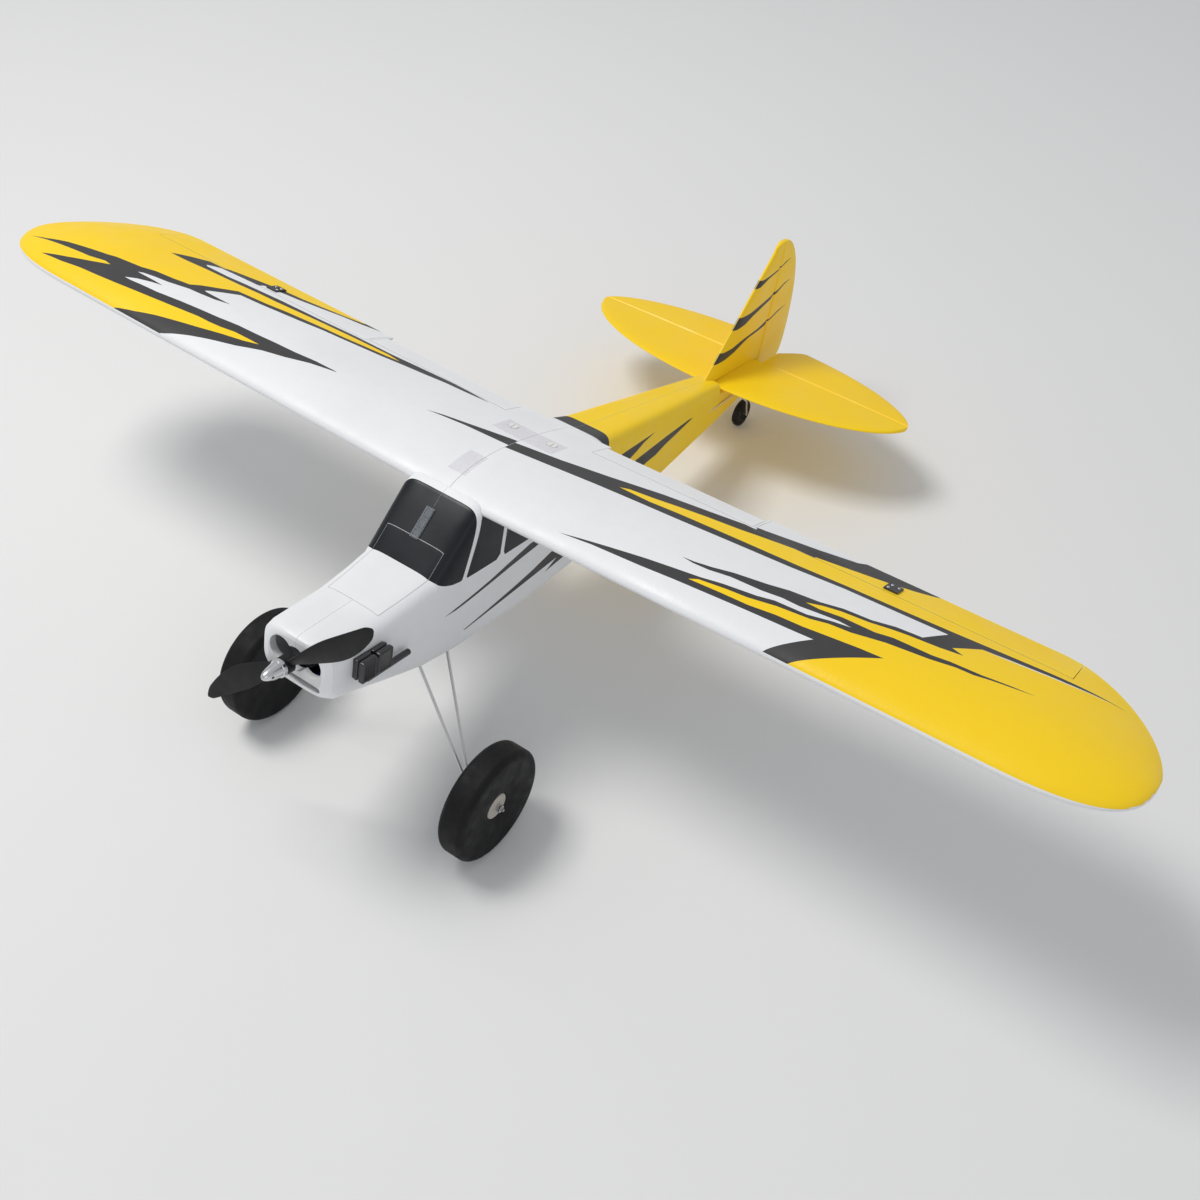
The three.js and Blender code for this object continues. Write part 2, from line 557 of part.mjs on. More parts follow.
function finEdges(z) {
  const brow = FIN.root + (FIN.brow - FIN.foot) * FIN.sweep;
  const over = Math.max(0, (z - FIN.brow) / (FIN.top + 0.6 - FIN.brow));
  const lead = z < FIN.brow ? FIN.root + (z - FIN.foot) * FIN.sweep
    : brow + (FIN.crown - brow) * (1 - Math.sqrt(1 - over ** 2));
  const up = Math.max(0, (z - FIN.widestZ) / (FIN.top + 0.6 - FIN.widestZ));
  const down = Math.max(0, (FIN.widestZ - z) / 53);
  const trail = FIN.crown + (FIN.widest - FIN.crown) * Math.sqrt(1 - up ** 2 - down ** 3);
  return [lead, trail];
}
const FIN_STATIONS = [FIN.bottom, -80, -70, -55, -30, 10, 40, 60, 76, 88, 96, 101, 104.5, FIN.top];
const finPlate = loft(FIN_STATIONS.map((z) => {
  const [lead, trail] = finEdges(z);
  const thick = FIN.thick * (1 - 0.3 * Math.max(0, z / FIN.top) ** 2);
  return plateRing(Math.max(lead, 488), trail, thick, (y, x) => new THREE.Vector3(x, y, z));
}));
const fin = finPlate.intersect(box(-10, 10, 400, FIN.hinge - GAP, FIN.foot, 200)).subtract(hullGrown);
const rudder = finPlate.intersect(plan([[0, FIN.hinge + GAP], [5.6, FIN.hinge + 6], [5.6, 760],
  [-5.6, 760], [-5.6, FIN.hinge + 6]], FIN.bottom, 200));

const elevatorHorn = union(
  box(13.4 + 5, 13.4 + 13, STAB.hinge + 6.5, STAB.hinge + 18, STAB.z - 6, STAB.z - 4 - GAP),
  side([[STAB.hinge + 16, STAB.z - 5], [STAB.hinge + 7, STAB.z - 5], [STAB.hinge + 1, STAB.z - 17],
    [STAB.hinge + 1, STAB.z - 19.5], [STAB.hinge + 5, STAB.z - 19.5]], 18.6, 20));
const rudderHorn = union(
  box(-6, -4 - GAP, FIN.hinge + 7, FIN.hinge + 19, -76, -66),
  plan([[-5, FIN.hinge + 17], [-5, FIN.hinge + 8], [-15, FIN.hinge + 2], [-19, FIN.hinge + 2],
    [-19, FIN.hinge + 5]], -71.4, -70));
const elevatorRod = rod(...elevatorRodPath, ROD, 8);
const rudderRod = rod(...rudderRodPath, ROD, 8);

// ---------------------------------------------------------------- undercarriage
const gearLeft = union(wire(gearWire.front, WIRE), wire(gearWire.rear, WIRE));
const gearPlate = box(-26, 26, -60, 4, -155, -152.6)
  .subtract(rod([-20, -28, -160], [-20, -28, -150], 1.6, 12))
  .subtract(rod([20, -28, -160], [20, -28, -150], 1.6, 12));

function tyreProfile(inner, outer, half, round) {
  const out = [[inner, -half * 0.72], [inner + (outer - inner) * 0.35, -half * 0.94],
    [outer - round, -half]];
  for (let i = 1; i <= 3; i += 1) {
    const a = i / 4 * Math.PI / 2;
    out.push([outer - round + round * Math.sin(a), -half + round * (1 - Math.cos(a))]);
  }
  const up = out.map(([r, h]) => [r, -h]).reverse();
  return [...out, [outer, -half + round + 1], [outer, half - round - 1], ...up];
}
const tyre = turned(tyreProfile(WHEEL.hub + GAP, WHEEL.radius, WHEEL.width / 2, 9),
  [WHEEL.x, WHEEL.y, WHEEL.z], 'x', 36);
const hubHalf = WHEEL.width * 0.36;
const hub = turned([[WHEEL.bore, -hubHalf - 1.5], [4.6, -hubHalf - 1.5], [5, -hubHalf - 0.6],
  [12.2, -hubHalf - 0.6], [12.6, -hubHalf], [WHEEL.hub, -hubHalf], [WHEEL.hub, hubHalf],
  [12.6, hubHalf], [12.2, hubHalf + 0.6], [5, hubHalf + 0.6], [4.6, hubHalf + 1.5],
  [WHEEL.bore, hubHalf + 1.5]],
  [WHEEL.x, WHEEL.y, WHEEL.z], 'x', 20);
const collarX = WHEEL.x + hubHalf + 2;
const collar = turned([[WIRE + GAP, 0], [3.9, 0], [3.9, 3.6], [WIRE + GAP, 3.6]],
  [collarX, WHEEL.y, WHEEL.z], 'x', 16);

const tailTyre = turned(
  [[1.6, -3.4], [4, -4], [7, -3.2], [12, -4.6], [16.4, -4.2], [18, -2], [18, 2], [16.4, 4.2],
    [12, 4.6], [7, 3.2], [4, 4], [1.6, 3.4]],
  [0, TAIL_WHEEL.y, TAIL_WHEEL.z], 'x', 22);
const tailGear = union(
  wire([[0, TAIL_WHEEL.steer, -74], [0, TAIL_WHEEL.steer, -97], [8, TAIL_WHEEL.steer + 9, -107],
    [8, TAIL_WHEEL.y, TAIL_WHEEL.z], [-6.5, TAIL_WHEEL.y, TAIL_WHEEL.z]], 1.2),
  rod([0, TAIL_WHEEL.steer, -92], [0, TAIL_WHEEL.steer, -89.8], 4, 16),
  box(-13, 13, TAIL_WHEEL.steer - 2, TAIL_WHEEL.steer + 2, -92, -90.2));

// ---------------------------------------------------------------- assembly
const model = new THREE.Group();
model.name = 'foam_airplane';
const attitude = new THREE.Matrix4().makeRotationX(-PITCH);

function addNode(name, body, colour) {
  const mesh = body.getMesh();
  const geometry = new THREE.BufferGeometry();
  const flat = new Float32Array(mesh.numVert * 3);
  for (let i = 0; i < mesh.numVert; i += 1) {
    for (let k = 0; k < 3; k += 1) flat[3 * i + k] = mesh.vertProperties[mesh.numProp * i + k];
  }
  geometry.setAttribute('position', new THREE.BufferAttribute(flat, 3));
  geometry.setIndex([...mesh.triVerts]);
  geometry.applyMatrix4(attitude);
  geometry.computeVertexNormals();
  const node = new THREE.Mesh(geometry, new THREE.MeshStandardMaterial({ color: COLOURS[colour] }));
  node.name = name;
  model.add(node);
}

function addPair(name, left, colour) {
  addNode(`${name}_left`, left, colour);
  addNode(`${name}_right`, mirror(left), colour);
}

addNode('fuselage_left', fuselageLeft, 'white');
addNode('fuselage_right', fuselageRight, 'white');
addNode('battery_hatch', batteryHatch, 'white');
addNode('hatch_latch', hatchLatch, 'clear');
addPair('wing', wingLeft, 'white');
addNode('wing_joiner', wingJoiner, 'carbon');
addPair('wing_bolt', wingBolt, 'nylon');
addPair('aileron', aileronLeft, 'yellow');
addPair('flap', flapLeft, 'white');
addPair('aileron_horn', aileronHorn, 'black');
addPair('horn_plate', hornPlate, 'black');
addPair('aileron_servo', aileronServo, 'servo');
addPair('aileron_arm', aileronArm, 'nylon');
addPair('aileron_rod', aileronRod, 'steel');
addNode('stabiliser', stabiliser, 'yellow');
addPair('elevator', elevatorLeft, 'yellow');
addNode('elevator_joiner', elevatorJoiner, 'steel');
addNode('fin', fin, 'yellow');
addNode('rudder', rudder, 'yellow');
addNode('elevator_horn', elevatorHorn, 'black');
addNode('rudder_horn', rudderHorn, 'black');
addNode('elevator_rod', elevatorRod, 'steel');
addNode('rudder_rod', rudderRod, 'steel');
addNode('equipment_tray', tray, 'ply');
addNode('elevator_servo', servo(14), 'servo');
addNode('rudder_servo', servo(-14), 'servo');
addNode('elevator_arm', servoArm(14), 'nylon');
addNode('rudder_arm', servoArm(-14), 'nylon');
addNode('battery', battery, 'blue');
addNode('battery_strap', strap, 'black');
addNode('receiver', receiver, 'black');
addNode('esc', esc, 'blue');
addNode('motor_mount', motorMount, 'black');
addNode('motor_base', motorBase, 'aluminium');
addNode('motor_bell', motorBell, 'black');
addNode('propeller', propeller, 'black');
addNode('prop_nut', propNut, 'aluminium');
addNode('dummy_engine', engine, 'black');
addPair('gear_leg', gearLeft, 'steel');
addNode('gear_plate', gearPlate, 'black');
addPair('tyre', tyre, 'rubber');
addPair('wheel_hub', hub, 'grey');
addPair('axle_collar', collar, 'aluminium');
addNode('tail_wheel', tailTyre, 'rubber');
addNode('tail_gear', tailGear, 'steel');

// The origin is on the ground, under the middle of the whole airplane.
const bounds = new THREE.Box3().setFromObject(model);
const middle = bounds.getCenter(new THREE.Vector3());
for (const node of model.children) node.geometry.translate(-middle.x, -middle.y, -bounds.min.z);

export default model;
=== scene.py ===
"""Looks of the radio-controlled foam airplane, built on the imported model.

Shapes are written in the airframe's own millimetres: x to the port tip, y aft, z up, in level
flight, with the origin at the wing's leading edge. TO_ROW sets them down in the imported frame.
"""
import json
import math
import bmesh
import bpy
from mathutils import Matrix, Vector


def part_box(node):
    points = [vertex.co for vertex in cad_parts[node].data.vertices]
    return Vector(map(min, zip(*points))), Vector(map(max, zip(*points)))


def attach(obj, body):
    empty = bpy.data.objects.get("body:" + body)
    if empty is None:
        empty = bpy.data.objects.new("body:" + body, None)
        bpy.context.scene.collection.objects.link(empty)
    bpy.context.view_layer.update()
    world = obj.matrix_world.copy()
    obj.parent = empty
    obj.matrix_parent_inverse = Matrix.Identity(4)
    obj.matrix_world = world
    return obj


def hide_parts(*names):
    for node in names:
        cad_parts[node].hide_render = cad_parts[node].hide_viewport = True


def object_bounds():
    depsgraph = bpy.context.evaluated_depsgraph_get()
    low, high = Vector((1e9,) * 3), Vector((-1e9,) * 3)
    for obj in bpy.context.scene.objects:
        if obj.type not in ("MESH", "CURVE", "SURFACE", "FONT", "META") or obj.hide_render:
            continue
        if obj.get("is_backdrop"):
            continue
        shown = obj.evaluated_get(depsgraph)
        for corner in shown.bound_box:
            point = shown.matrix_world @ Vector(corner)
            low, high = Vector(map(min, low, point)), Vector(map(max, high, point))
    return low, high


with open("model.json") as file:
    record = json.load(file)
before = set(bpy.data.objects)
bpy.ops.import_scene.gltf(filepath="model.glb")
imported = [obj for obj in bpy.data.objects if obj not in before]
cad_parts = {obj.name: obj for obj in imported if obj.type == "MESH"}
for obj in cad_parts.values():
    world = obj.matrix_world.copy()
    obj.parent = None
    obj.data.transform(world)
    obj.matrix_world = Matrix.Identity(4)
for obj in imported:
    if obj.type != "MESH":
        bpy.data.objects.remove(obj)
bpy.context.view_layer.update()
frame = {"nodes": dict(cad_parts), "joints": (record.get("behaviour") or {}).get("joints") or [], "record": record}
nodes = frame["nodes"]

# ------------------------ driving dimensions
GAP = 0.35
PITCH = 0.2217
SPAN = 1300
CHORD = 197
DIHEDRAL = 0.02
CAMBER = 0.035
THICKNESS = 0.13
TIP_LEAD, TIP_TRAIL, TIP_Y = 523, 538, 84
AILERON = dict(x0=240, x1=552, hinge=154, bevel=24, trail=None)
FLAP = dict(x0=54, x1=237, hinge=160, bevel=36, trail=188.5)
AXIS_Z = -88
PROP_Y = -199
PROP = dict(root=5, radius=127, bore=2.9, phase=-41)
BLADE = dict(chord=10, swell=13.6, taper=60, tip_from=0.93, tip_run=0.07, thick=4.2, tip_thick=1.1)
NOSE_BACK = -165
INTAKE = dict(x=17, z=-86, radius=12.8)
SHAFT_OPENING = 12
CHIN_SLOT = dict(half=26, z=-108, radius=3.2)
GEAR_PLATE_ROOM = (-26.4, 26.4, -60.4, 4.4, -160, -152.3)
BOLT = dict(x=24, y=132, hole=2.35, head=5.4)
HORN_X = 380
TYRE_RADIUS, TYRE_SHOULDER = 60, 7.5
WHEEL = Vector((141.5, -69.6, -243.4))
STAB = dict(z=-50, half=221, lead=510, widest=612, trail=694, hinge=613, thick=8)
FIN = dict(hinge=624, top=106.4, foot=-45.6, bottom=-86, thick=8, root=490, sweep=0.82,
           brow=96, crown=625, widest=698, widest_z=-35, fall=53, front=488)
HINGE_BEVEL, HINGE_HALF = 6, 5.6

hub = next(j for j in frame["joints"] if j["name"] == "propeller_spin")["pos_m"]
LEVEL_TO_ROW = Matrix.Rotation(-PITCH, 4, "X")
SHIFT = Vector(hub) - LEVEL_TO_ROW @ Vector((0, PROP_Y, AXIS_Z)) / 1000
TO_ROW = Matrix.Translation(SHIFT) @ LEVEL_TO_ROW @ Matrix.Scale(0.001, 4)


# ------------------------ materials
class Paint:
    """One procedural material: base colour with variation, roughness and bump."""

    def __init__(self, name, colour, rough=0.5, metal=0.0):
        self.material = bpy.data.materials.new(name)
        self.material.use_nodes = True
        self.tree = self.material.node_tree
        self.bsdf = self.tree.nodes["Principled BSDF"]
        self.bsdf.inputs["Metallic"].default_value = metal
        self.place = self.add("ShaderNodeTexCoord").outputs["Object"]
        self.colour = self.add("ShaderNodeRGB").outputs[0]
        self.colour.default_value = (*colour, 1)
        self.rough = self.value(rough)
        self.height = None

    def add(self, kind, **settings):
        node = self.tree.nodes.new(kind)
        for key, value in settings.items():
            setattr(node, key, value)
        return node

    def link(self, source, socket):
        self.tree.links.new(source, socket)

    def value(self, number):
        node = self.add("ShaderNodeValue")
        node.outputs[0].default_value = number
        return node.outputs[0]

    def noise(self, scale, detail=4, stretch=None):
        node = self.add("ShaderNodeTexNoise")
        node.inputs["Scale"].default_value = scale
        node.inputs["Detail"].default_value = detail
        place = self.place
        if stretch:
            mapping = self.add("ShaderNodeMapping")
            mapping.inputs["Scale"].default_value = stretch
            self.link(place, mapping.inputs["Vector"])
            place = mapping.outputs[0]
        self.link(place, node.inputs["Vector"])
        return node.outputs["Fac"]

    def cells(self, scale):
        node = self.add("ShaderNodeTexVoronoi", feature="F1")
        node.inputs["Scale"].default_value = scale
        self.link(self.place, node.inputs["Vector"])
        return node.outputs["Distance"]

    def remap(self, source, low, high, from_low=0.3, from_high=0.7):
        node = self.add("ShaderNodeMapRange")
        for socket, number in zip(("From Min", "From Max", "To Min", "To Max"),
                                  (from_low, from_high, low, high)):
            node.inputs[socket].default_value = number
        self.link(source, node.inputs["Value"])
        return node.outputs[0]

    def tint(self, factor, colour):
        """Moves the colour towards another where factor is high."""
        node = self.add("ShaderNodeMix", data_type="RGBA", blend_type="MIX")
        self.link(factor, node.inputs["Factor"])
        self.link(self.colour, node.inputs["A"])
        node.inputs["B"].default_value = (*colour, 1)
        self.colour = node.outputs["Result"]
        return self

    def mottle(self, scale, strength, colour, low=0.45, high=0.75):
        return self.tint(self.remap(self.noise(scale), 0, strength, low, high), colour)

    def vary_rough(self, scale, low, high):
        self.rough = self.remap(self.noise(scale), low, high)
        return self

    def edge_wear(self, strength, colour):
        """Paint thinned to the ground colour along sharp edges."""
        geometry = self.add("ShaderNodeNewGeometry")
        worn = self.remap(geometry.outputs["Pointiness"], 0, strength, 0.52, 0.6)
        return self.tint(worn, colour)

    def bump(self, source, depth, strength=1.0):
        node = self.add("ShaderNodeBump")
        node.inputs["Strength"].default_value = strength
        node.inputs["Distance"].default_value = depth
        self.link(source, node.inputs["Height"])
        if self.height:
            self.link(self.height, node.inputs["Normal"])
        self.height = node.outputs["Normal"]
        return self

    def set(self, **sockets):
        for name, number in sockets.items():
            self.bsdf.inputs[name.replace("_", " ")].default_value = number
        return self

    def done(self):
        self.link(self.colour, self.bsdf.inputs["Base Color"])
        self.link(self.rough, self.bsdf.inputs["Roughness"])
        if self.height:
            self.link(self.height, self.bsdf.inputs["Normal"])
        return self.material


def foam(name, colour, shade, rough=0.42, bead=1.0, shine=0.4):
    """Painted moulded foam: soft bead dimples under a thin satin coat, a little scuffed."""
    paint = Paint(name, colour)
    paint.mottle(9, 0.35, shade).mottle(70, 0.18, shade)
    paint.edge_wear(0.25, tuple(min(1, c * 1.15 + 0.02) for c in colour))
    paint.vary_rough(26, rough - 0.08, rough + 0.12)
    paint.bump(paint.cells(290), 0.00016 * bead, 0.5 * min(1, bead))
    paint.bump(paint.noise(900, 2), 0.00005 * bead, 0.5)
    return paint.set(Specular_IOR_Level=shine).done()


def hard_plastic(name, colour, shade, rough, grain=600, coat=0.0, shine=0.5):
    paint = Paint(name, colour)
    paint.mottle(40, 0.5, shade)
    paint.edge_wear(0.35, tuple(min(1, c * 1.6 + 0.03) for c in colour))
    paint.vary_rough(60, rough - 0.06, rough + 0.1)
    paint.bump(paint.noise(grain, 3), 0.00004, 0.6)
    return paint.set(Coat_Weight=coat, Coat_Roughness=0.2, Specular_IOR_Level=shine).done()


def metal(name, colour, rough, stretch):
    """Drawn or turned metal with fine lines along it."""
    paint = Paint(name, colour, metal=1.0)
    lines = paint.noise(260, 3, stretch)
    paint.tint(paint.remap(lines, 0, 0.25), tuple(c * 0.7 for c in colour))
    paint.mottle(120, 0.12, tuple(c * 0.5 for c in colour))
    paint.rough = paint.remap(lines, rough - 0.05, rough + 0.1)
    return paint.bump(lines, 0.00001, 0.3).done()


WHITE = foam("white_foam", (0.83, 0.84, 0.86), (0.74, 0.75, 0.77))
YELLOW = foam("yellow_foam", (1.0, 0.67, 0.006), (0.97, 0.6, 0.004))
CHARCOAL = foam("charcoal_paint", (0.052, 0.051, 0.053), (0.07, 0.069, 0.072), 0.45, 0.7, 0.25)
GLAZING = foam("window_paint", (0.007, 0.009, 0.013), (0.012, 0.015, 0.021), 0.34, 0.3, 0.3)
RAW_FOAM = foam("raw_foam", (0.7, 0.71, 0.72), (0.6, 0.61, 0.62), 0.7, 1.6)
PLATE_BLACK = hard_plastic("black_nylon", (0.016, 0.016, 0.018), (0.03, 0.03, 0.033), 0.42)
ENGINE = hard_plastic("engine_plastic", (0.01, 0.009, 0.012), (0.02, 0.019, 0.023), 0.28, 300,
                      0.4)
BLADE_BLACK = hard_plastic("propeller_nylon", (0.005, 0.005, 0.006), (0.009, 0.009, 0.01), 0.45,
                           900, shine=0.22)
CASE = hard_plastic("servo_case", (0.02, 0.03, 0.07), (0.03, 0.05, 0.1), 0.25, 500, 0.4)
NYLON = hard_plastic("natural_nylon", (0.66, 0.65, 0.62), (0.56, 0.55, 0.52), 0.45)
HUB = hard_plastic("hub_plastic", (0.46, 0.43, 0.38), (0.38, 0.35, 0.31), 0.4)
STEEL = metal("spring_steel", (0.72, 0.72, 0.73), 0.34, (1, 1, 12))
ALUMINIUM = metal("turned_aluminium", (0.72, 0.72, 0.74), 0.22, (2, 20, 2))
BELL = hard_plastic("anodised_bell", (0.012, 0.012, 0.014), (0.03, 0.03, 0.03), 0.3)


def tyre_material():
    paint = Paint("foam_tyre", (0.005, 0.005, 0.006))
    paint.mottle(30, 0.5, (0.009, 0.009, 0.01)).mottle(220, 0.3, (0.014, 0.014, 0.014))
    paint.edge_wear(0.4, (0.03, 0.029, 0.028))
    paint.vary_rough(80, 0.5, 0.72)
    paint.bump(paint.cells(900), 0.0001, 0.6)
    return paint.set(Specular_IOR_Level=0.22).done()


def wrapped_material():
    """Blue shrink wrap, painted near black on its upward faces as painted shade for the dark inside the nose."""
    paint = Paint("blue_shrink", (0.012, 0.04, 0.4))
    paint.mottle(40, 0.5, (0.02, 0.08, 0.5))
    facing = paint.add("ShaderNodeSeparateXYZ")
    paint.link(paint.add("ShaderNodeNewGeometry").outputs["Normal"], facing.inputs[0])
    # Painted shade: faces turned upwards go near black, standing in for the shade inside the nose around the part.
    paint.tint(paint.remap(facing.outputs["Z"], 0, 1, 0.6, 0.7), (0.008, 0.008, 0.01))
    paint.vary_rough(60, 0.16, 0.32)
    paint.bump(paint.noise(200, 3), 0.00004, 0.6)
    return paint.set(Coat_Weight=0.4, Coat_Roughness=0.2).done()


def clear_material(name, colour, alpha):
    paint = Paint(name, colour)
    paint.mottle(60, 0.5, tuple(c * 0.85 for c in colour))
    paint.vary_rough(90, 0.06, 0.2)
    paint.bump(paint.noise(180, 2), 0.00008, 0.4)
    return paint.set(Alpha=alpha, Coat_Weight=0.3).done()


def wood_material():
    paint = Paint("thin_plywood", (0.5, 0.33, 0.17))
    grain = paint.noise(60, 5, (14, 1, 6))
    paint.tint(paint.remap(grain, 0, 0.7), (0.36, 0.21, 0.1))
    paint.vary_rough(70, 0.5, 0.7)
    return paint.bump(grain, 0.0001, 0.6).done()


def strap_material():
    paint = Paint("woven_strap", (0.015, 0.015, 0.017))
    weave = paint.add("ShaderNodeTexWave", bands_direction="Y")
    weave.inputs["Scale"].default_value = 260
    paint.link(paint.place, weave.inputs["Vector"])
    paint.tint(paint.remap(weave.outputs["Fac"], 0, 0.6), (0.05, 0.05, 0.055))
    paint.vary_rough(90, 0.7, 0.9)
    return paint.bump(weave.outputs["Fac"], 0.0002, 0.7).done()


TYRE = tyre_material()
BLUE = wrapped_material()
CLEAR = clear_material("clear_plastic", (0.3, 0.33, 0.36), 0.4)
TAPE = clear_material("clear_tape", (0.78, 0.74, 0.8), 0.14)
WOOD = wood_material()
STRAP = strap_material()


# ------------------------ mesh helpers
def ring_loft(rings):
    """A closed body through rings of equal length, capped at both ends."""
    bm = bmesh.new()
    made = [[bm.verts.new(p) for p in ring] for ring in rings]
    count = len(rings[0])
    for lower, upper in zip(made, made[1:]):
        for i in range(count):
            j = (i + 1) % count
            bm.faces.new((lower[i], lower[j], upper[j], upper[i]))
    bm.faces.new(made[0])
    bm.faces.new(made[-1])
    return clean(bm)


def clean(bm):
    bmesh.ops.remove_doubles(bm, verts=bm.verts, dist=0.004)
    bmesh.ops.dissolve_degenerate(bm, edges=bm.edges, dist=0.002)
    bmesh.ops.recalc_face_normals(bm, faces=bm.faces)
    return bm


def box(x0, x1, y0, y1, z0, z1):
    bm = bmesh.new()
    bmesh.ops.create_cube(bm, size=1)
    middle = Vector(((x0 + x1) / 2, (y0 + y1) / 2, (z0 + z1) / 2))
    for v in bm.verts:
        v.co = Vector((v.co.x * (x1 - x0), v.co.y * (y1 - y0), v.co.z * (z1 - z0))) + middle
    return bm


def upright(x, y, z):
    return Vector((x, y, z))


def extrude_outline(outline, low, high, place):
    """A prism on an outline; place(a, b, depth) sets each corner."""
    return ring_loft([[place(a, b, depth) for a, b in outline] for depth in (low, high)])


def rod(start, end, radius, sides=28):
    start, end = Vector(start), Vector(end)
    across = (end - start).normalized().orthogonal().normalized()
    other = (end - start).normalized().cross(across)
    rings = []
    for at in (start, end):
        rings.append([at + radius * (across * math.cos(a) + other * math.sin(a))
                      for a in (2 * math.pi * k / sides for k in range(sides))])
    return ring_loft(rings)


def turned(profile, at, axis, sides=96):
    """A closed profile of (radius, height) turned about x or y through `at`."""
    rings = []
    for k in range(sides):
        a = 2 * math.pi * k / sides
        ring = []
        for r, h in profile:
            spot = (h, r * math.cos(a), r * math.sin(a)) if axis == "x" else (
                r * math.cos(a), h, r * math.sin(a))
            ring.append(Vector(spot) + at)
        rings.append(ring)
    bm = bmesh.new()
    made = [[bm.verts.new(p) for p in ring] for ring in rings]
    for k in range(sides):
        here, there = made[k], made[(k + 1) % sides]
        for i in range(len(profile)):
            j = (i + 1) % len(profile)
            bm.faces.new((here[i], here[j], there[j], there[i]))
    return clean(bm)


def mirrored(bm):
    for v in bm.verts:
        v.co.x = -v.co.x
    bmesh.ops.reverse_faces(bm, faces=bm.faces)
    return bm


def boolean(bm, *steps):
    """Applies (operation, cutter) steps and gives the new bmesh; every cutter is used up."""
    subject = plain_object(bm)
    for operation, cutter in steps:
        tool = plain_object(cutter)
        modifier = subject.modifiers.new("cut", "BOOLEAN")
        modifier.operation, modifier.object, modifier.solver = operation, tool, "EXACT"
        view = bpy.context.evaluated_depsgraph_get()
        mesh = bpy.data.meshes.new_from_object(subject.evaluated_get(view))
        subject.modifiers.clear()
        subject.data = mesh
        bpy.data.objects.remove(tool)
    out = bmesh.new()
    out.from_mesh(subject.data)
    bpy.data.objects.remove(subject)
    return out


def plain_object(bm):
    mesh = bpy.data.meshes.new("tool")
    bm.to_mesh(mesh)
    bm.free()
    tool = bpy.data.objects.new("tool", mesh)
    bpy.context.scene.collection.objects.link(tool)
    return tool


def inside(outline, a, b):
    odd = False
    for (a0, b0), (a1, b1) in zip(outline, outline[1:] + outline[:1]):
        if (b0 > b) != (b1 > b) and a < (a1 - a0) * (b - b0) / (b1 - b0) + a0:
            odd = not odd
    return odd


def paint_outline(bm, outline, slot, axes, faces_wanted):
    """Scores the skin along a closed outline and gives the faces inside it a material slot.

    axes are the two coordinates the outline is drawn in; faces_wanted says which faces it is on.
    """
    i, j = axes
    for start, end in zip(outline, outline[1:] + outline[:1]):
        run, rise = end[0] - start[0], end[1] - start[1]
        if abs(run) + abs(rise) < 0.01:
            continue
        normal = Vector((0, 0, 0))
        normal[i], normal[j] = rise, -run
        spot = Vector((0, 0, 0))
        spot[i], spot[j] = start
        low = (min(start[0], end[0]) - 0.01, min(start[1], end[1]) - 0.01)
        high = (max(start[0], end[0]) + 0.01, max(start[1], end[1]) + 0.01)
        chosen = []
        for face in bm.faces:
            if not faces_wanted(face):
                continue
            a = [v.co[i] for v in face.verts]
            if max(a) < low[0] or min(a) > high[0]:
                continue
            b = [v.co[j] for v in face.verts]
            if max(b) < low[1] or min(b) > high[1]:
                continue
            chosen.append(face)
        parts = set(chosen)
        for face in chosen:
            parts.update(face.edges)
            parts.update(face.verts)
        if chosen:
            bmesh.ops.bisect_plane(bm, geom=list(parts), dist=0.02, plane_co=spot,
                                   plane_no=normal.normalized())
    for face in bm.faces:
        if faces_wanted(face):
            middle = face.calc_center_median()
            if inside(outline, middle[i], middle[j]):
                face.material_index = slot


def piece(name, bm, materials, body, replaces=(), sharp=38, bevel=0.0):
    """Sets a bmesh down in the model's frame as a finished, riding piece."""
    bmesh.ops.recalc_face_normals(bm, faces=bm.faces)
    mesh = bpy.data.meshes.new(name)
    bm.to_mesh(mesh)
    bm.free()
    mesh.transform(TO_ROW)
    for material in materials:
        mesh.materials.append(material)
    for polygon in mesh.polygons:
        polygon.use_smooth = True
    mesh.set_sharp_from_angle(angle=math.radians(sharp))
    thing = bpy.data.objects.new(name, mesh)
    bpy.context.scene.collection.objects.link(thing)
    if bevel:
        rounding = thing.modifiers.new("edges", "BEVEL")
        rounding.width, rounding.segments = bevel / 1000, 2
        rounding.limit_method, rounding.angle_limit = "ANGLE", math.radians(40)
        rounding.use_clamp_overlap = True
    shading = thing.modifiers.new("shading", "WEIGHTED_NORMAL")
    shading.keep_sharp = True
    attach(thing, body)
    if replaces:
        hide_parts(*replaces)
    return thing


# ------------------------ wing
def foil(u, top):
    half = 5 * THICKNESS * (0.2969 * math.sqrt(u) - 0.126 * u - 0.3516 * u ** 2
                            + 0.2843 * u ** 3 - 0.1015 * u ** 4)
    peak = 0.4
    if u < peak:
        line = CAMBER / peak ** 2 * (2 * peak * u - u * u)
    else:
        line = CAMBER / (1 - peak) ** 2 * (1 - 2 * peak + 2 * peak * u - u * u)
    return line + half if top else line - half


def wing_lead(x):
    base = 0.004 * x
    if x <= TIP_LEAD:
        return base
    s = min(1, (x - TIP_LEAD) / (SPAN / 2 - TIP_LEAD))
    return TIP_Y - (TIP_Y - base) * (1 - s ** 2.77) ** (1 / 2.77)


def wing_trail(x):
    base = CHORD + 0.005 * x
    if x <= TIP_TRAIL:
        return base
    s = min(1, (x - TIP_TRAIL) / (SPAN / 2 - TIP_TRAIL))
    return TIP_Y + (base - TIP_Y) * (1 - s ** 1.63) ** (1 / 1.63)


def wing_skin(x, y, top):
    lead = wing_lead(x)
    chord = max(0.01, wing_trail(x) - lead)
    u = min(1, max(0, (y - lead) / chord))
    blunt = 0.7 * u * (1 if top else -1)
    return DIHEDRAL * x + chord * foil(u, top) + blunt


def spread(x0, x1, step):
    count = max(1, round((x1 - x0) / step))
    return [x0 + (x1 - x0) * k / count for k in range(count + 1)]


CHORD_STEPS = [(k / 26) ** 1.7 for k in range(27)]


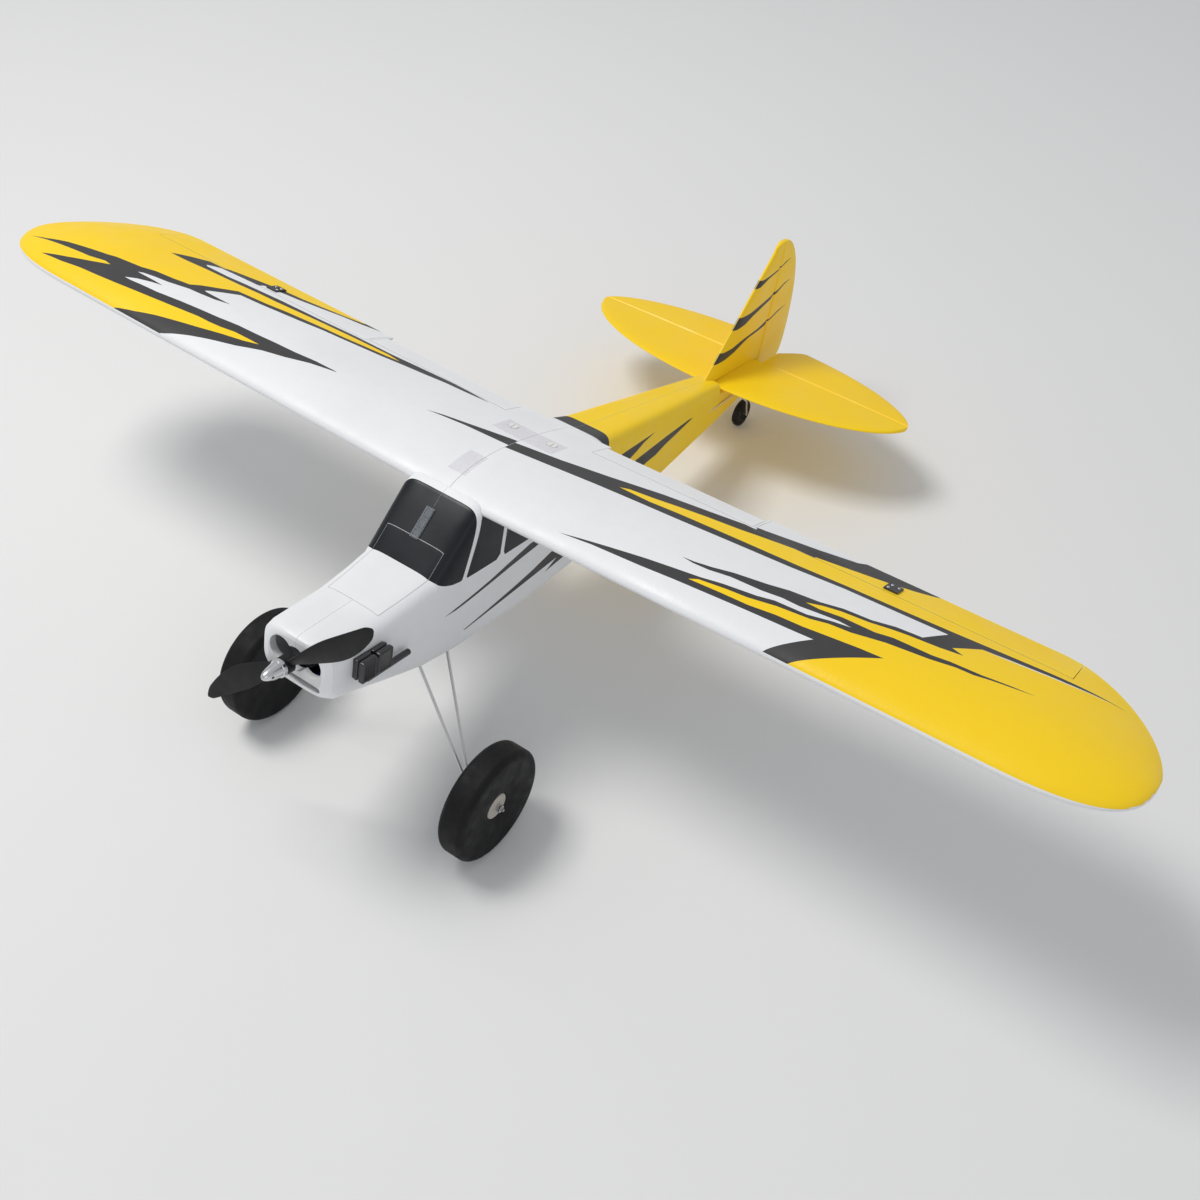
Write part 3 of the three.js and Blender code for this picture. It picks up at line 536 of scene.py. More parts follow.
def wing_ring(x, grow=0.0):
    lead, trail = wing_lead(max(x, 0)) - grow, wing_trail(max(x, 0)) + grow
    ring = []
    for top in (True, False):
        steps = list(reversed(CHORD_STEPS)) if top else CHORD_STEPS[1:]
        for u in steps:
            y = wing_lead(x) + (wing_trail(x) - wing_lead(x)) * u
            lift = grow if top else -grow
            ring.append(Vector((x, lead + (trail - lead) * u,
                                wing_skin(max(x, 0), y, top) + (lift if u > 0 else 0))))
    return ring


def whole_wing():
    """One half from the centre joint to the rounded tip."""
    reach = SPAN / 2 - 0.3 - TIP_LEAD
    stations = spread(0.25, TIP_LEAD, 18)
    stations += [TIP_LEAD + reach * math.sin(math.pi / 2 * k / 18) for k in range(1, 19)]
    return ring_loft([wing_ring(x) for x in stations])


def wing_saddle():
    """The room the wing's root takes up in the fuselage."""
    return ring_loft([wing_ring(x, GAP) for x in spread(-0.5, 90, 18)])


def bay(spec):
    return box(spec["x0"] - GAP, spec["x1"] + GAP, spec["hinge"] - GAP, 300, -60, 60)


def hinged_panel(spec, steps=7):
    """A hinged surface: skin above, bevel ahead, skin below."""
    slope = math.tan(math.radians(spec["bevel"]))
    rings = []
    for x in spread(spec["x0"] + GAP, spec["x1"] - GAP, 16):
        front = spec["hinge"] + GAP
        back = spec["trail"] or wing_trail(x)
        drop = wing_skin(x, front, True) - wing_skin(x, front + 5, False)
        below = front + drop * slope
        over = [front + (back - front) * k / steps for k in range(steps + 1)]
        under = [below + (back - below) * k / steps for k in range(steps, -1, -1)]
        rings.append([Vector((x, y, wing_skin(x, y, True))) for y in over]
                     + [Vector((x, y, wing_skin(x, y, False))) for y in under])
    return ring_loft(rings)


PORT_BLACK = [
    (117.5, 13), (150, 16.7), (200, 19.7), (235, 22.7), (300, 27.2), (350, 30), (364.2, 31),
    (335, 2.2), (335, -5), (358.3, -5), (358.3, 2.2), (381.7, 18.8), (400, 32.2), (420.8, 47.2),
    (400, 45.5), (350, 38.8), (325, 37.2), (300, 33.3), (275, 32.2), (242.5, 30), (250, 34.7),
    (275, 38.8), (295, 41), (320, 47.2), (350, 51.3), (365, 56.3), (385, 58.8), (413, 67.2),
    (450, 73.4), (471.7, 79.3), (486.7, 80.5), (500, 84.7), (537, 93), (516.7, 90.5),
    (491.7, 86), (465, 83.8), (450, 80.5), (415, 78.8), (400, 74.3), (370, 73.3), (350, 69.3),
    (336.7, 69.7), (350, 76.3), (365, 81), (390, 84.7), (410, 90.5), (423, 93.3), (450, 97.2),
    (470, 102.2), (458.3, 106.3), (478.3, 128), (500, 131.3), (550, 138.8), (587, 148.8),
    (603, 152), (590, 150.5), (550, 144.7), (500, 139.7), (450, 134.7), (400, 130.8),
    (350, 127.5), (300, 123), (235, 119), (180, 115), (150, 111.5), (116.7, 112.2), (125, 117.2),
    (150, 122.2), (175, 128.8), (200, 134.7), (235, 141.3), (250, 145.5), (285, 153.8),
    (305, 154.7), (305, 157), (325, 162.2), (350, 169.3), (375, 176.5), (395, 185),
    (412, 195), (420, 203), (345, 203), (335, 191), (300, 178), (250, 164.7), (241, 163),
    (242, 157), (230, 157.2), (200, 149.7), (150, 138.8), (100, 123.8), (50, 111.3), (1.7, 103),
    (-1, 103), (-1, 86.3), (1.7, 86.3), (100, 97.2), (125, 99.3), (150, 101.3), (185, 103.8),
    (235, 108.3), (300, 113.8), (350, 120.5), (400, 123.3), (447.5, 126), (433.3, 100.5),
    (410, 97.2), (390, 89.7), (365, 86.7), (345, 79.7), (318, 75.5), (300, 69.7), (270, 63),
    (250, 56.3), (235, 52.7), (222.5, 51.3), (235, 50), (250, 51), (270, 55.5), (300, 57.2),
    (318, 60.5), (335, 60.5), (350, 63), (370, 66), (382, 65.3), (365, 61.3), (345, 54.7),
    (315, 52.7), (300, 48), (270, 43), (250, 38), (235, 35.5), (200, 29.7), (175, 24.7),
    (150, 19.7)]
PORT_WHITE = [
    (-1, -10), (346, -10), (346, 0), (372, 25), (372, 35), (350, 35), (300, 31), (260, 28),
    (238, 29), (238, 31), (250, 37), (300, 44.5), (345, 53.5), (365, 59), (395, 64), (382, 67),
    (350, 66.5), (330, 66), (328, 70), (345, 77.5), (365, 83.5), (390, 87), (410, 94),
    (440, 99.5), (455, 115), (460, 128), (448, 130), (400, 127), (350, 124), (300, 118.5),
    (250, 114.5), (200, 110), (110, 108), (108, 113), (150, 131), (200, 143), (245, 152),
    (245, 158), (300, 170), (340, 183), (350, 210), (-1, 210)]
PORT_SLIVER = [(480, 127.5), (500, 130.2), (550, 137.7), (588, 148.3), (550, 139.2), (500, 131.8)]
STARBOARD_ROOT = [
    (-93.3, 80), (-75, 83.8), (-50, 88), (-4.2, 92.2), (1, 92.5), (1, 108), (-2.5, 107.7),
    (-25, 101.3), (-50, 93.8), (-75, 86.7)]
STARBOARD_BLACK = [
    (-72, 157), (-100, 153), (-125, 150.5), (-150, 145.5), (-175, 141.3), (-200, 136.3),
    (-250, 129.3), (-275, 126.3), (-300, 121.3), (-350, 113.3), (-377.5, 110.5), (-388.3, 99.7),
    (-400, 88), (-403, 83.8), (-400, 82.7), (-375, 82.7), (-364.2, 83), (-381.7, 77.2),
    (-400, 74.3), (-415, 72.7), (-425, 69.7), (-440, 65.5), (-455, 63.2), (-470, 59.7),
    (-475, 56.7), (-450, 56.7), (-436, 56), (-450, 52.2), (-465, 46.3), (-475.8, 40),
    (-466.7, 40), (-450, 41.7), (-430, 43), (-400, 47.5), (-375, 50.5), (-350, 53),
    (-325, 56.7), (-300, 58), (-275, 60), (-250, 61.3), (-225, 64.3), (-200, 65),
    (-195.8, 64.3), (-205, 62.2), (-225, 57), (-250, 47), (-275, 39.7), (-300, 28.8),
    (-330, 19.7), (-350, 13), (-375, 3.8), (-380, 2.7), (-380, -5), (-449, -5), (-449, 3),
    (-425, 8.3), (-400, 15.5), (-375, 21.3), (-350, 27.2), (-325, 33.8), (-300, 39.7),
    (-284.2, 45.5), (-300, 45.5), (-318, 45), (-335, 41.7), (-350, 40.2), (-365, 40),
    (-400, 35.5), (-425, 32.5), (-450, 29.7), (-475, 26.7), (-500, 24.2), (-525, 22.2),
    (-550, 18.5), (-581.7, 17.2), (-550, 27.2), (-525, 37.2), (-505.8, 46.3), (-515, 47.7),
    (-535, 42.5), (-550, 41.3), (-565, 40), (-600, 37.2), (-621.3, 35.5), (-600, 39.7),
    (-585, 44.7), (-575, 47.7), (-550, 53), (-525, 58.8), (-515, 62.2), (-481.7, 67.2),
    (-465, 73), (-441.7, 76.3), (-422.5, 80.5), (-415, 89.7), (-400, 103), (-386.7, 116),
    (-350, 120.5), (-325, 125.5), (-275, 132.2), (-250, 134.7), (-225, 138.5), (-200, 142.2),
    (-183.3, 145.5), (-200, 148), (-250, 145.5), (-300, 141.3), (-350, 136), (-375, 134.7),
    (-400, 131.7), (-450, 127.7), (-475, 124.7), (-500, 123.8), (-491.7, 131.7),
    (-483.3, 138.8), (-466.7, 150.5), (-445, 151.3), (-440, 155.5), (-400, 166.7), (-375, 173),
    (-350, 176.3), (-325, 182.2), (-300, 188.8), (-280, 195.5), (-265, 207), (-248, 207),
    (-255, 198), (-275, 190.5), (-300, 184.7), (-325, 176.3), (-350, 168.8), (-380, 163),
    (-392.5, 159.7), (-394.2, 153), (-425, 150.5), (-446.7, 148.3), (-453.3, 143.8),
    (-459.2, 138), (-455, 135.5), (-425, 136.3), (-400, 139.7), (-375, 142.2), (-350, 144.7),
    (-300, 147.2), (-250, 151), (-200, 152.2), (-150, 156.7), (-125, 158.8), (-100, 158.8)]
STARBOARD_WHITE = [
    (1, -10), (-414, -10), (-414, 0), (-390, 10), (-340, 22), (-300, 34), (-277, 46), (-300, 50),
    (-340, 47), (-380, 44), (-425, 39), (-470, 34), (-482, 40), (-482, 58), (-470, 65),
    (-440, 72), (-425, 75), (-408, 87), (-395, 101), (-382, 114), (-350, 117), (-300, 125),
    (-250, 132), (-200, 139.5), (-178, 144), (-178, 148), (-225, 149.7), (-300, 144.5),
    (-375, 138.5), (-425, 132.5), (-462, 129), (-466, 136), (-460, 143), (-450, 149.5),
    (-425, 153), (-393, 161), (-350, 172.5), (-300, 186.7), (-262, 200), (-262, 210), (1, 210)]
SKIN = [WHITE, YELLOW, CHARCOAL]
MARKS = {"left": [(PORT_WHITE, 0), (PORT_BLACK, 2), (PORT_SLIVER, 0)],
         "right": [(STARBOARD_WHITE, 0), (STARBOARD_BLACK, 2), (STARBOARD_ROOT, 2)]}


def paint_top(bm, side):
    """Yellow above, then the white field and the charcoal flashes; white below."""
    bmesh.ops.recalc_face_normals(bm, faces=bm.faces)
    bm.normal_update()

    def is_top(face):
        """The top skin, and the walls behind it at the hinge and the trailing edge."""
        return face.normal.z > (-0.2 if face.calc_center_median().y > 140 else 0.45)

    for face in bm.faces:
        face.material_index = 1 if is_top(face) else 0
    for outline, slot in MARKS[side]:
        paint_outline(bm, outline, slot, (0, 1), is_top)
        bm.normal_update()
    return bm


SERVO_POCKET = (HORN_X - 28.6, HORN_X - 0.4, 97.5, 121.5, -40, DIHEDRAL * HORN_X + 7.5)
bolt_top = wing_skin(BOLT["x"], BOLT["y"], True)


def bolt_bore(low, radius):
    return "DIFFERENCE", rod((BOLT["x"], BOLT["y"], low), (BOLT["x"], BOLT["y"], 40), radius)


for side in ("left", "right"):
    flip = (lambda bm: bm) if side == "left" else mirrored
    solid = boolean(
        whole_wing(), ("DIFFERENCE", bay(AILERON)), ("DIFFERENCE", bay(FLAP)),
        ("DIFFERENCE", box(*SERVO_POCKET)), bolt_bore(bolt_top - 2.5, BOLT["head"]),
        bolt_bore(-30, BOLT["hole"]))
    piece(f"wing_skin_{side}", paint_top(flip(solid), side), SKIN, "airframe",
          [f"wing_{side}"])
    piece(f"aileron_skin_{side}", paint_top(flip(hinged_panel(AILERON)), side), SKIN,
          f"aileron_panel_{side}", [f"aileron_{side}"])
    piece(f"flap_skin_{side}", paint_top(flip(hinged_panel(FLAP)), side), SKIN,
          f"flap_panel_{side}", [f"flap_{side}"])

# ------------------------ fuselage
# Each section: y, half width, top, bottom, squareness.
SECTIONS = [
    (-188, 31, -70, -111, 3), (-187, 36, -66.5, -115, 3.2), (-184, 40, -64.5, -119, 3.6),
    (-176, 41.5, -63.5, -123.5, 4), (-150, 42, -62, -129.5, 4.2), (-118, 42.5, -60, -138.5, 4.4),
    (-85, 44, -55, -146, 4.8), (-56.5, 45, -49.4, -151, 5.5), (-7.5, 46, 3, -153, 8),
    (2, 46, 8, -153, 8), (100, 45, 8, -153, 8), (185, 41, 4, -150.5, 8), (203, 39, -2, -149, 7),
    (237, 35.5, -9, -144, 6.5), (392, 26, -28, -118.5, 6), (491, 19, -40, -104, 6),
    (506, 18, -42, -101.5, 6), (508, 17.9, -54.4, -101.2, 6), (573, 12.5, -54.4, -92, 5),
    (620, 8, -54.4, -86.5, 4)]
RING_SIDES = 72


def section(y):
    for low, high in zip(SECTIONS, SECTIONS[1:]):
        if y <= high[0]:
            t = (y - low[0]) / (high[0] - low[0])
            return [a + (b - a) * t for a, b in zip(low, high)]
    return list(SECTIONS[-1])


def hull_ring(y, inset=0.0, lift=0.0):
    _, half, top, bottom, power = section(y)
    top += lift
    height, middle = (top - bottom) / 2 - inset, (top + bottom) / 2
    ring = []
    for k in range(RING_SIDES):
        a = 2 * math.pi * (k + 0.5) / RING_SIDES
        c, s = math.cos(a), math.sin(a)
        ring.append(Vector(((half - inset) * math.copysign(abs(c) ** (2 / power), c), y,
                            middle + height * math.copysign(abs(s) ** (2 / power), s))))
    return ring


hull_stations = [SECTIONS[0][0]]
for low, high in zip(SECTIONS, SECTIONS[1:]):
    hull_stations += spread(low[0], high[0], 16)[1:]


def hull(grow=0.0):
    return ring_loft([hull_ring(y, -grow) for y in hull_stations])


def nose_room():
    return ring_loft([hull_ring(y, 6) for y in spread(-181, -56.5, 16)])


def deck_room():
    return ring_loft([hull_ring(y, 7) for y in spread(-56.6, -7.5, 12)])


def hollow():
    """The room inside, from behind the nose to the tail; it opens upwards under the wing."""
    cabin = [hull_ring(y, 7, 18 if y > 0 else 0) for y in spread(-7.6, 180, 20)]
    boom = [hull_ring(y, 5) for y in spread(179.9, 478, 24)]
    return boolean(nose_room(), ("UNION", deck_room()), ("UNION", ring_loft(cabin)),
                   ("UNION", ring_loft(boom)))


def hatch_plug(grow):
    outline = [(29 + grow, -118 - grow), (33 + grow, -55), (33 + grow, -38 + grow),
               (-33 - grow, -38 + grow), (-33 - grow, -55), (-29 - grow, -118 - grow)]
    return extrude_outline(outline, -90, 20, upright)


WINDSHIELD = [(-56.4, 20), (-56.4, -51), (-52, -54.5), (-46, -57), (-35, -60.5), (-24, -62),
              (-21.2, -61.5), (-20, -58), (-5, 2), (0, 20)]
WINDOWS = [
    [(-15, -60.5), (-13.5, -62.4), (31, -62.9), (36, -58), (36, 0), (4, 0), (0.5, -2),
     (-1.2, -6)],
    [(41.5, 2), (41.5, -58), (44, -62.5), (115, -62.5), (119, -59), (101, 2)]]
STRIPES = [
    [(-41, -94.5), (26, -83.75), (87.5, -70), (98, -70), (180, -52), (262, -39), (298, -40),
     (336, -41), (310, -45), (298, -49.3), (283, -53.3), (180, -65), (100, -78.75), (62, -83),
     (26, -88), (-25, -94.5)],
    [(-9, -126), (26, -121), (75, -113), (135, -101), (220, -80), (300, -61.7), (373, -59.3),
     (427, -59.3), (438, -61), (403, -66), (370, -71), (350, -76), (327, -77.3), (250, -97),
     (200, -110), (160, -121.5), (127, -124), (147, -115), (100, -117), (50, -121.7), (-5, -127)]]
YELLOW_AFT = [(228, 60), (228, -17), (215, -170), (760, -170), (760, 60)]
BAND = [(206, 60), (208, -1), (214, -8), (221, -15), (228, -17), (234, -8), (236, 60)]
HULL_SKIN = [WHITE, YELLOW, CHARCOAL, GLAZING, RAW_FOAM]


def paint_hull(bm):
    bmesh.ops.recalc_face_normals(bm, faces=bm.faces)
    bm.normal_update()

    def outside(face):
        """Faces that lie on the hull's outer skin."""
        spot = face.calc_center_median()
        _, half, top, bottom, power = section(spot.y)
        across = abs(spot.x) / half
        up = abs(spot.z - (top + bottom) / 2) / ((top - bottom) / 2)
        return across ** power + up ** power > 0.8

    def flank(face):
        return abs(face.normal.x) > 0.45 and outside(face)

    for face in bm.faces:
        face.material_index = 0 if outside(face) else 4
    paint_outline(bm, YELLOW_AFT, 1, (1, 2), outside)
    paint_outline(bm, BAND, 2, (1, 2), outside)
    bm.normal_update()
    for outline in STRIPES:
        paint_outline(bm, outline, 2, (1, 2), flank)
    for outline in WINDOWS:
        paint_outline(bm, outline, 3, (1, 2), flank)
    paint_outline(bm, WINDSHIELD, 3, (1, 2), outside)
    return bm


def nose_bore(x, z, radius, front=-195, sides=48):
    """A round opening through the front wall."""
    return "DIFFERENCE", rod((x, front, z), (x, NOSE_BACK, z), radius, sides)


slot_half, slot_z, slot_front = CHIN_SLOT["half"], CHIN_SLOT["z"], -200
slot_low, slot_high = (slot_z + side * CHIN_SLOT["radius"] for side in (-1, 1))
wall_cuts = [
    ("DIFFERENCE", hollow()),
    nose_bore(INTAKE["x"], INTAKE["z"], INTAKE["radius"]),
    nose_bore(-INTAKE["x"], INTAKE["z"], INTAKE["radius"]),
    nose_bore(0, AXIS_Z, SHAFT_OPENING),
    ("DIFFERENCE", box(-slot_half, slot_half, slot_front, NOSE_BACK, slot_low, slot_high)),
    nose_bore(slot_half, slot_z, CHIN_SLOT["radius"], slot_front, 28),
    nose_bore(-slot_half, slot_z, CHIN_SLOT["radius"], slot_front, 28),
    ("DIFFERENCE", wing_saddle()),
    ("DIFFERENCE", mirrored(wing_saddle())),
    ("DIFFERENCE", box(*GEAR_PLATE_ROOM))]
strakes = []
for sign in (1, -1):
    outline = [(x * sign, y) for x, y in ((6, 526), (8, 528), (18, 600), (16, 603), (6, 605))]
    strakes.append(("UNION", extrude_outline(outline, -82, -79, upright)))
shell = boolean(hull(), *strakes, *wall_cuts)
deck = boolean(hull(), ("DIFFERENCE", nose_room()), ("DIFFERENCE", deck_room()),
               ("INTERSECT", hatch_plug(0)))
piece("hatch_cover", paint_hull(deck), HULL_SKIN, "hatch", ["battery_hatch"])
open_shell = boolean(shell, ("DIFFERENCE", hatch_plug(0.45)))
for side, sign in (("left", 1), ("right", -1)):
    inner, outer = sorted((0.12 * sign, 100 * sign))
    half_box = box(inner, outer, -300, 800, -300, 100)
    half = boolean(open_shell.copy(), ("INTERSECT", half_box))
    piece(f"hull_skin_{side}", paint_hull(half), HULL_SKIN, "airframe", [f"fuselage_{side}"])

# ------------------------ tail
PLATE_STEPS = [0.5 - 0.5 * math.cos(math.pi * k / 22) for k in range(23)]


def plate_ring(lead, trail, thick, place):
    ring = []
    for sign in (1, -1):
        for u in (reversed(PLATE_STEPS) if sign > 0 else PLATE_STEPS):
            depth = thick / 2 * math.sqrt(max(0.01, 1 - abs(2 * u - 1) ** 7))
            ring.append(place(lead + (trail - lead) * u, sign * depth))
    return ring


def stab_edges(x):
    s = min(1, abs(x) / STAB["half"])
    fall = (1 - s ** 2.1) ** 0.55
    return (STAB["widest"] - (STAB["widest"] - STAB["lead"]) * fall,
            STAB["widest"] + (STAB["trail"] - STAB["widest"]) * (1 - s ** 2.2) ** 0.6)


def stab_plate():
    rings = []
    for k in range(-32, 33):
        s = 0.9985 * math.sin(math.pi / 2 * k / 32)
        x = s * STAB["half"]
        lead, trail = stab_edges(x)
        thick = STAB["thick"] * (1 - 0.35 * abs(s) ** 3)
        rings.append(plate_ring(lead, trail, thick, lambda y, z: Vector((x, y, STAB["z"] + z))))
    return ring_loft(rings)


def fin_edges(z):
    brow = FIN["root"] + (FIN["brow"] - FIN["foot"]) * FIN["sweep"]
    over = max(0, (z - FIN["brow"]) / (FIN["top"] + 0.6 - FIN["brow"]))
    if z < FIN["brow"]:
        lead = FIN["root"] + (z - FIN["foot"]) * FIN["sweep"]
    else:
        lead = brow + (FIN["crown"] - brow) * (1 - math.sqrt(1 - over ** 2))
    up = max(0, (z - FIN["widest_z"]) / (FIN["top"] + 0.6 - FIN["widest_z"]))
    down = max(0, (FIN["widest_z"] - z) / FIN["fall"])
    swell = math.sqrt(1 - up ** 2 - down ** 3)
    return lead, FIN["crown"] + (FIN["widest"] - FIN["crown"]) * swell


def fin_plate():
    rings = []
    heights = spread(FIN["bottom"], FIN["brow"], 7)
    heights += [FIN["brow"] + (FIN["top"] - FIN["brow"]) * math.sin(math.pi / 2 * k / 8)
                for k in range(1, 9)]
    for z in heights:
        lead, trail = fin_edges(z)
        thick = FIN["thick"] * (1 - 0.3 * max(0, z / FIN["top"]) ** 2)
        rings.append(plate_ring(max(lead, FIN["front"]), trail, thick,
                                lambda y, x: Vector((x, y, z))))
    return ring_loft(rings)


FLAMES = [
    [(540, 62), (559, 59), (561.7, 56.7), (573.3, 56.3), (583.3, 57.5), (600, 64.2),
     (621.7, 69.2), (624, 71.3), (630, 72.5), (646.7, 78.3), (652.5, 80.3), (638, 77.5),
     (630, 74.2), (623.3, 73.3), (621.7, 71.3), (600, 67.5), (586.7, 65.5), (573.3, 65.8),
     (566.7, 67.5), (550, 76)],
    [(505, 18), (521.7, 15.8), (524.2, 13.3), (535, 12.2), (546.7, 12.2), (563.3, 15),
     (580, 21.7), (603.3, 28.3), (620, 33.3), (623, 37), (626.7, 36.3), (635, 38),
     (650, 45.3), (666.7, 49.2), (650, 47.5), (635, 41.7), (625, 40), (621.7, 39.2),
     (618.3, 37.5), (596.7, 32.5), (571.7, 27.5), (550, 25.8), (538.3, 26.7), (533.3, 28.3),
     (515, 34)],
    [(480, -19), (490.8, -20.8), (493.3, -23.3), (510, -24.2), (530, -22.5), (550, -18.3),
     (566.7, -12.5), (580, -8.3), (606.7, -5), (620.8, -2.5), (625, 0.8), (635, 2.5),
     (650, 7.5), (671.7, 13.3), (650, 10), (635, 5), (625, 3.3), (620.8, 4.2), (618.3, 2.5),
     (603.3, -1.7), (583.3, -4.2), (563.3, -6.7), (543.3, -10.8), (523.3, -12), (506.7, -10.8),
     (500.8, -7.5), (485, 0)]]


def paint_fin(bm):
    bmesh.ops.recalc_face_normals(bm, faces=bm.faces)
    bm.normal_update()
    all_yellow(bm)
    for outline in FLAMES:
        paint_outline(bm, outline, 2, (1, 2), lambda face: abs(face.normal.x) > 0.02)
        bm.normal_update()
    return bm


def all_yellow(bm):
    for face in bm.faces:
        face.material_index = 1
    return bm


hinge, mid_z = STAB["hinge"], STAB["z"]
stab_cut = box(-300, 300, hinge - GAP, 800, -80, -20)
piece("stabiliser_skin", all_yellow(boolean(stab_plate(), ("DIFFERENCE", stab_cut))), SKIN,
      "airframe", ["stabiliser"])
above, below = mid_z + HINGE_HALF, mid_z - HINGE_HALF
wedge = [(hinge + GAP, mid_z), (hinge + HINGE_BEVEL, above), (760, above), (760, below),
         (hinge + HINGE_BEVEL, below)]
notch = [(-5, 500), (17, 500), (17, 656), (43, 693), (43, 760), (-5, 760)]
for side in ("left", "right"):
    blank = extrude_outline(wedge, 17, 300, lambda y, z, x: Vector((x, y, z)))
    elevator = boolean(stab_plate(), ("INTERSECT", blank),
                       ("DIFFERENCE", extrude_outline(notch, -80, -20, upright)))
    elevator = elevator if side == "left" else mirrored(elevator)
    piece(f"elevator_skin_{side}", all_yellow(elevator), SKIN, "elevator_panel",
          [f"elevator_{side}"])
fin = boolean(fin_plate(), ("INTERSECT", box(-10, 10, 400, FIN["hinge"] - GAP, FIN["foot"], 200)))
piece("fin_skin", paint_fin(fin), SKIN, "airframe", ["fin"])
behind = FIN["hinge"] + HINGE_BEVEL
post = [(0, FIN["hinge"] + GAP), (HINGE_HALF, behind), (HINGE_HALF, 760), (-HINGE_HALF, 760),
        (-HINGE_HALF, behind)]
rudder = boolean(fin_plate(), ("INTERSECT", extrude_outline(post, FIN["bottom"], 200, upright)))
piece("rudder_skin", paint_fin(rudder), SKIN, "rudder_panel", ["rudder"])


# ------------------------ propeller
def blade():
    rings = []
    for k in range(33):
        s = k / 32
        r = PROP["root"] + s * (PROP["radius"] - PROP["root"])
        taper = BLADE["taper"] * max(0, s - 0.5) ** 2
        swell = math.sin(math.pi / 2 * min(1, s / 0.55)) ** 1.6
        chord = BLADE["chord"] + BLADE["swell"] * swell - taper
        past = (s - BLADE["tip_from"]) / BLADE["tip_run"]
        if past > 0:
            chord *= math.sqrt(max(0.12, 1 - past ** 2))
        twist = math.atan2(22, 12 + r)
        thick = BLADE["thick"] * (1 - s) + BLADE["tip_thick"]
        ring = []
        for step in range(24):
            a = 2 * math.pi * (step + 0.5) / 24
            u = (math.cos(a) * chord + taper) / 2
            v = math.sin(a) * thick / 2 * (0.75 + 0.25 * math.cos(a))
            ring.append(Vector((r, v * math.cos(twist) - u * math.sin(twist),
                                u * math.cos(twist) + v * math.sin(twist))))
        rings.append(ring)
    return ring_loft(rings)


phase = Matrix.Rotation(math.radians(PROP["phase"]), 4, "Y")
half_turn = Matrix.Rotation(math.pi, 4, "Y")
first, second = blade(), blade()
second.transform(half_turn)
boss = turned([(PROP["bore"], -4.6), (7.6, -4.6), (8.5, -3.8), (8.5, 3.4), (7.6, 4.2),
               (PROP["bore"], 4.2)], Vector((0, 0, 0)), "y", 64)
blades = boolean(first, ("UNION", second), ("UNION", boss),
                 ("DIFFERENCE", rod((0, -30, 0), (0, 30, 0), PROP["bore"])))
blades.transform(Matrix.Translation((0, PROP_Y, AXIS_Z)) @ phase)
piece("propeller_blades", blades, [BLADE_BLACK], "power", ["propeller"])

# The spinner nut: a collar, then a blunt cone with a cross hole.
cone = [(8, -5.2), (8.5, -5.7), (8.5, -9.1), (8.1, -9.6), (7.5, -9.8)]
for k in range(21):
    t = math.sin(math.pi / 2 * k / 20)
    cone.append((max(0.02, (7.5 - 3.6 * t) * math.sqrt(1 - t ** 6)), -10.4 - 17.2 * t))
nut = turned(cone + [(0.02, -14), (2.85, -14), (2.85, -5.2)], Vector((0, PROP_Y, AXIS_Z)), "y")
hole_y = PROP_Y - 20
nut = boolean(nut, ("DIFFERENCE", rod((-12, hole_y, AXIS_Z), (12, hole_y, AXIS_Z), 1.2)))
piece("spinner_nut", nut, [ALUMINIUM], "power", ["prop_nut"], 30)


# ------------------------ dummy engine on the port side
def soft_box(x0, x1, y0, y1, z0, z1, radius):
    bm = box(x0, x1, y0, y1, z0, z1)
    bmesh.ops.bevel(bm, geom=bm.edges[:], offset=radius, segments=3, profile=0.5,
                    affect="EDGES", clamp_overlap=True)
    return bm


engine_parts = [soft_box(44, 54, -147, -139, -97, -81, 0.5)]
for y in (-153.3, -133):
    engine_parts.append(soft_box(44, 47.6, y - 9, y + 9, -99.5, -77.8, 1.2))
    engine_parts.append(box(47.5, 49, y - 7.6, y + 7.6, -98, -79.3))
    engine_parts.append(boolean(
        soft_box(48.9, 55, y - 9.2, y + 9.2, -99.8, -77.5, 1.7),
        ("DIFFERENCE", soft_box(54.2, 56, y - 7.6, y + 7.6, -98.2, -79.1, 0.7))))
engine_parts.append(turned([(0.02, 0), (3.1, 0), (3.1, 54.4), (2.7, 55.5), (1.8, 56), (0.02, 56)],
                           Vector((49, -150, -102.7)), "y", 40))
engine = boolean(box(36, 45, -161.5, -124.5, -99, -79),
                 *[("UNION", part) for part in engine_parts], ("DIFFERENCE", hull(GAP)))
piece("engine_blocks", engine, [ENGINE], "airframe", ["dummy_engine"], 40)

# ------------------------ tyres
def tyre_profile(inner, outer, half, shoulder):
    side = [(inner, -half * 0.7), (inner + 1.5, -half * 0.8), (inner + (outer - inner) * 0.35,
            -half * 0.94), (outer - shoulder - 6, -half), (outer - shoulder, -half)]
    for k in range(1, 9):
        a = k / 9 * math.pi / 2
        side.append((outer - shoulder * (1 - math.sin(a)), -half + shoulder * (1 - math.cos(a))))
    return side + [(r, -h) for r, h in reversed(side)]


for side, sign in (("left", 1), ("right", -1)):
    centre = Vector((WHEEL.x * sign, WHEEL.y, WHEEL.z))
    low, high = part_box(f"tyre_{side}")
    half_width = (high.x - low.x) * 500
    hub_low, hub_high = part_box(f"wheel_hub_{side}")
    inner = (hub_high.z - hub_low.z) * 500 + 0.3
    profile = tyre_profile(inner, TYRE_RADIUS, half_width, TYRE_SHOULDER)
    tyre = turned(profile, centre, "x", 128)
    piece(f"tyre_foam_{side}", tyre, [TYRE], f"wheel_{side}", [f"tyre_{side}"])

